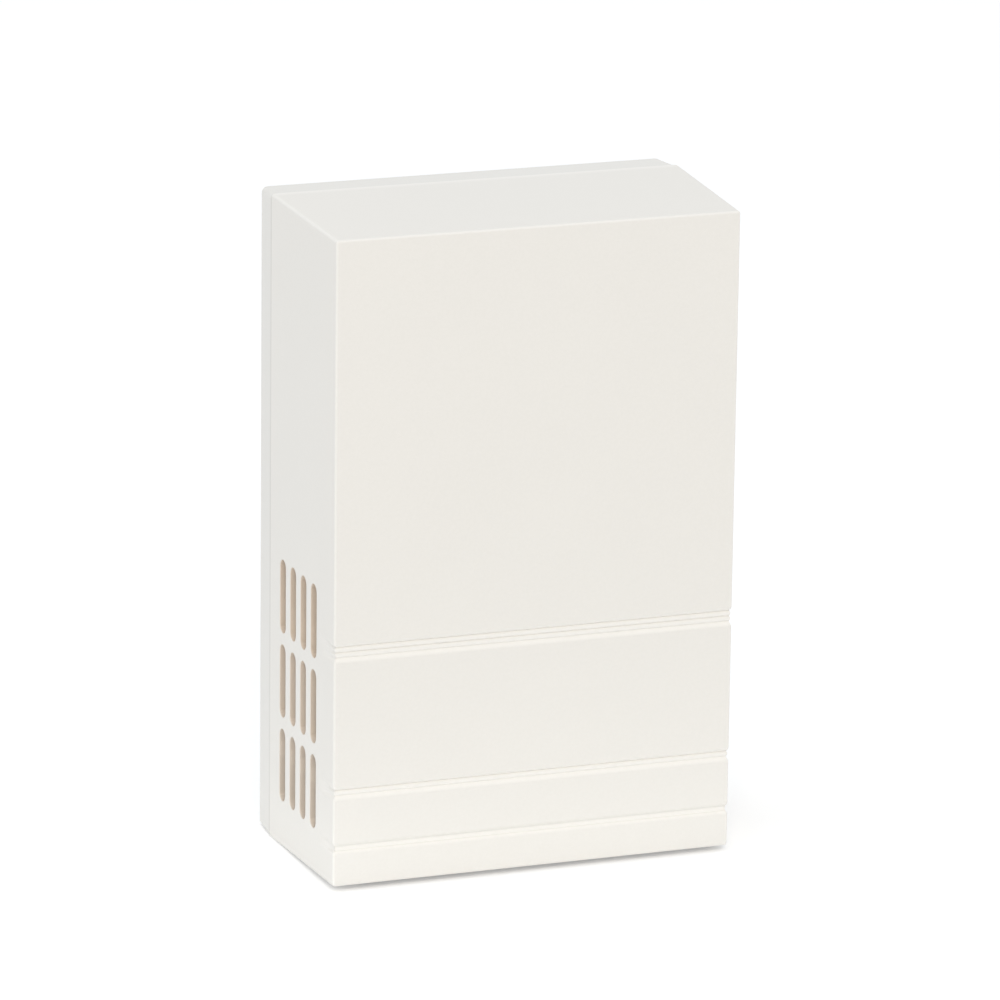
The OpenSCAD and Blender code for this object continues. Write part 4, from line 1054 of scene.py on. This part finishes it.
class CHIME_OT_cover(bpy.types.Operator):
    """Moulded cover with its grooves, slots, ribs and keys"""
    bl_idname = "chime.cover"
    bl_label = "Cover"

    def execute(self, context):
        s = cover_sizes()
        c = colours()
        # The slots' walls take painted shade; the grooves and edges take painted highlight.
        finish = moulded("ivory_cover_plastic", c.cover,
                         [("slot_shade", c.slot), ("groove_highlight", c.groove), ("edge_highlight", c.edge)])
        shape, marks = cover_shell(s)
        shell = piece("cover_shell", shape, finish, "cover", ["front_cover"])
        for name, values in marks.items():
            shell.data.attributes.new(name, "FLOAT", "POINT").data.foreach_set("value", values)
        weigh = shell.modifiers.new("even shading", "WEIGHTED_NORMAL")
        weigh.keep_sharp = True
        weigh.weight = 90
        piece("cover_ribs", cover_ribs(s), finish, "cover")
        return {"FINISHED"}


class CHIME_OT_base(bpy.types.Operator):
    """Finish of the moulded base"""
    bl_idname = "chime.base"
    bl_label = "Base"

    def execute(self, context):
        # The base takes painted shade along its seam with the cover.
        coat(moulded("ivory_base_plastic", colours().base, dust_and_seam_shade=colours().dust_and_seam_shade), "base_plate")
        return {"FINISHED"}


class CHIME_OT_coil(bpy.types.Operator):
    """Winding and tape of the coil, and the bobbin's finish"""
    bl_idname = "chime.coil"
    bl_label = "Coil"

    def execute(self, context):
        s, c = inside_sizes(), colours()
        piece("coil_turns", winding(s), enamelled("enamelled_copper", c.copper), "chassis",
              ["coil_winding"], 70)
        piece("coil_tape_wrap", tape_wrap(s), film("yellow_tape_film", c.tape), "chassis",
              ["coil_tape"])
        coat(waxy("bobbin_nylon", c.bobbin), "coil_bobbin")
        return {"FINISHED"}


class CHIME_OT_spring(bpy.types.Operator):
    """Return spring between the frame and the low striker"""
    bl_idname = "chime.spring"
    bl_label = "Return spring"

    def execute(self, context):
        shape, seat, end = spring_coil(inside_sizes())
        made = piece("spring_coil", shape, drawn("spring_wire_steel", colours().zinc, (0.2, 1, 1)), None,
                     ["return_spring"], 60)
        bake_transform(made)
        return {"FINISHED"}


class CHIME_OT_leads(bpy.types.Operator):
    """Coil leads with their soldered ends"""
    bl_idname = "chime.leads"
    bl_label = "Coil leads"

    def execute(self, context):
        s, c = inside_sizes(), colours()
        piece("lead_brown", insulated_lead(s, 1), insulation("brown_insulation", c.lead_a), "chassis",
              ["coil_lead_a"])
        piece("lead_blue", insulated_lead(s, -1), insulation("blue_insulation", c.lead_b), "chassis",
              ["coil_lead_b"])
        solder = tinned("solder", c.tin)
        piece("solder_brown", solder_joint(s, 1), solder, "chassis")
        piece("solder_blue", solder_joint(s, -1), solder, "chassis")
        coat(tinned("tinned_pins", c.tin), "bobbin_pins")
        return {"FINISHED"}


class CHIME_OT_metals(bpy.types.Operator):
    """Finishes of the steel and brass pieces"""
    bl_idname = "chime.metals"
    bl_label = "Steel and brass"

    def execute(self, context):
        c = colours()
        coat(rolled("tone_bar_steel", c.tone_steel, (3, 1, 0.03)), "low_tone_bar", "high_tone_bar")
        coat(drawn("plunger_steel", c.tone_steel, (0.04, 1, 1)), "plunger_core")
        coat(plated("zinc_plate", c.zinc), "solenoid_frame")
        coat(plated("screw_zinc", c.zinc, (0.2, 0.34)), "frame_screws", "terminal_screws",
             "terminal_fixing_screw")
        coat(drawn("sleeve_brass", c.brass, (0.04, 1, 1)), "guide_sleeve")
        coat(drawn("insert_brass", c.brass, (1, 1, 0.05)), "terminal_inserts")
        return {"FINISHED"}


class CHIME_OT_plastics(bpy.types.Operator):
    """Finishes of the strikers, pegs, terminal strip and grommets"""
    bl_idname = "chime.plastics"
    bl_label = "Nylon and rubber"

    def execute(self, context):
        c = colours()
        coat(waxy("striker_nylon", c.nylon), "low_striker_tip", "high_striker_tip")
        coat(waxy("peg_nylon", c.nylon, (0.26, 0.36)), "low_bar_pegs", "high_bar_pegs")
        coat(waxy("strip_plastic", c.strip, (0.2, 0.32)), "terminal_block")
        coat(rubber("grommet_rubber", c.rubber), "low_bar_grommets", "high_bar_grommets")
        return {"FINISHED"}


class CHIME_OT_stage(bpy.types.Operator):
    """White floor, soft lamps, white room and the camera"""
    bl_idname = "chime.stage"
    bl_label = "Stage"

    def execute(self, context):
        floor = white_floor(CAD_BOX[0][2])
        white_room(0.867, (0.943, 0.968, 0.999), (0.780, 0.792, 0.800))
        key_light, top_light, table_light = (1.0, 0.878, 0.739), (0.428, 0.677, 1.0), (0.93, 0.97, 1.0)
        broad, low_front, low_left = (0.5, 0.5), (0.3, 0.01), (0.2, 0.01)
        foot_front, foot_left = (0.12, 0.004), (0.06, 0.004)
        softbox("key_softbox", (-0.336, -1.129, 0.964), (0, -0.03, 0), broad, 3.96, key_light)
        softbox("top_softbox", (0, -0.02, 1.2), (0, -0.02, 0), broad, 0.66, top_light)
        for name, place, target, size, watts in [
            ("foot_fill", (0, -0.062, -0.064), (0, -0.046, -0.064), foot_front, 0.00072),
            ("low_front_fill", (0, -0.095, -0.06), (0, -0.046, -0.06), low_front, 0.0042),
            ("low_left_fill", (-0.088, -0.02, -0.06), (-0.043, -0.02, -0.06), low_left, 0.0015),
            ("foot_left_fill", (-0.058, -0.03, -0.064), (-0.043, -0.03, -0.064), foot_left, 0.0004),
        ]:
            softbox(name, place, target, size, watts, table_light)
        photo_camera()
        context.scene.view_settings.view_transform = "Standard"
        return {"FINISHED"}


class CHIME_PT_pieces(bpy.types.Panel):
    """Lists the chime's pieces, sizes and colours"""
    bl_idname = "CHIME_PT_pieces"
    bl_label = "Door chime"
    bl_space_type = "VIEW_3D"
    bl_region_type = "UI"
    bl_category = "Chime"

    def draw(self, context):
        for operator in OPERATORS:
            self.layout.operator(operator.bl_idname)
        for group in (cover_sizes(), inside_sizes(), colours()):
            column = self.layout.column(align=True)
            for name in group.__annotations__:
                column.prop(group, name)


OPERATORS = (CHIME_OT_cover, CHIME_OT_base, CHIME_OT_coil, CHIME_OT_spring, CHIME_OT_leads, CHIME_OT_metals,
             CHIME_OT_plastics, CHIME_OT_stage)
CLASSES = (ChimeCoverSizes, ChimeInsideSizes, ChimeColours, *OPERATORS, CHIME_PT_pieces)


def register():
    for one in CLASSES:
        bpy.utils.register_class(one)
    bpy.types.Scene.chime_cover = PointerProperty(type=ChimeCoverSizes)
    bpy.types.Scene.chime_inside = PointerProperty(type=ChimeInsideSizes)
    bpy.types.Scene.chime_colours = PointerProperty(type=ChimeColours)


def unregister():
    del bpy.types.Scene.chime_colours
    del bpy.types.Scene.chime_inside
    del bpy.types.Scene.chime_cover
    for one in reversed(CLASSES):
        bpy.utils.unregister_class(one)


def main():
    register()
    bpy.ops.chime.cover()
    bpy.ops.chime.base()
    bpy.ops.chime.coil()
    bpy.ops.chime.spring()
    bpy.ops.chime.leads()
    bpy.ops.chime.metals()
    bpy.ops.chime.plastics()
    bpy.ops.chime.stage()


if __name__ == "__main__":
    main()
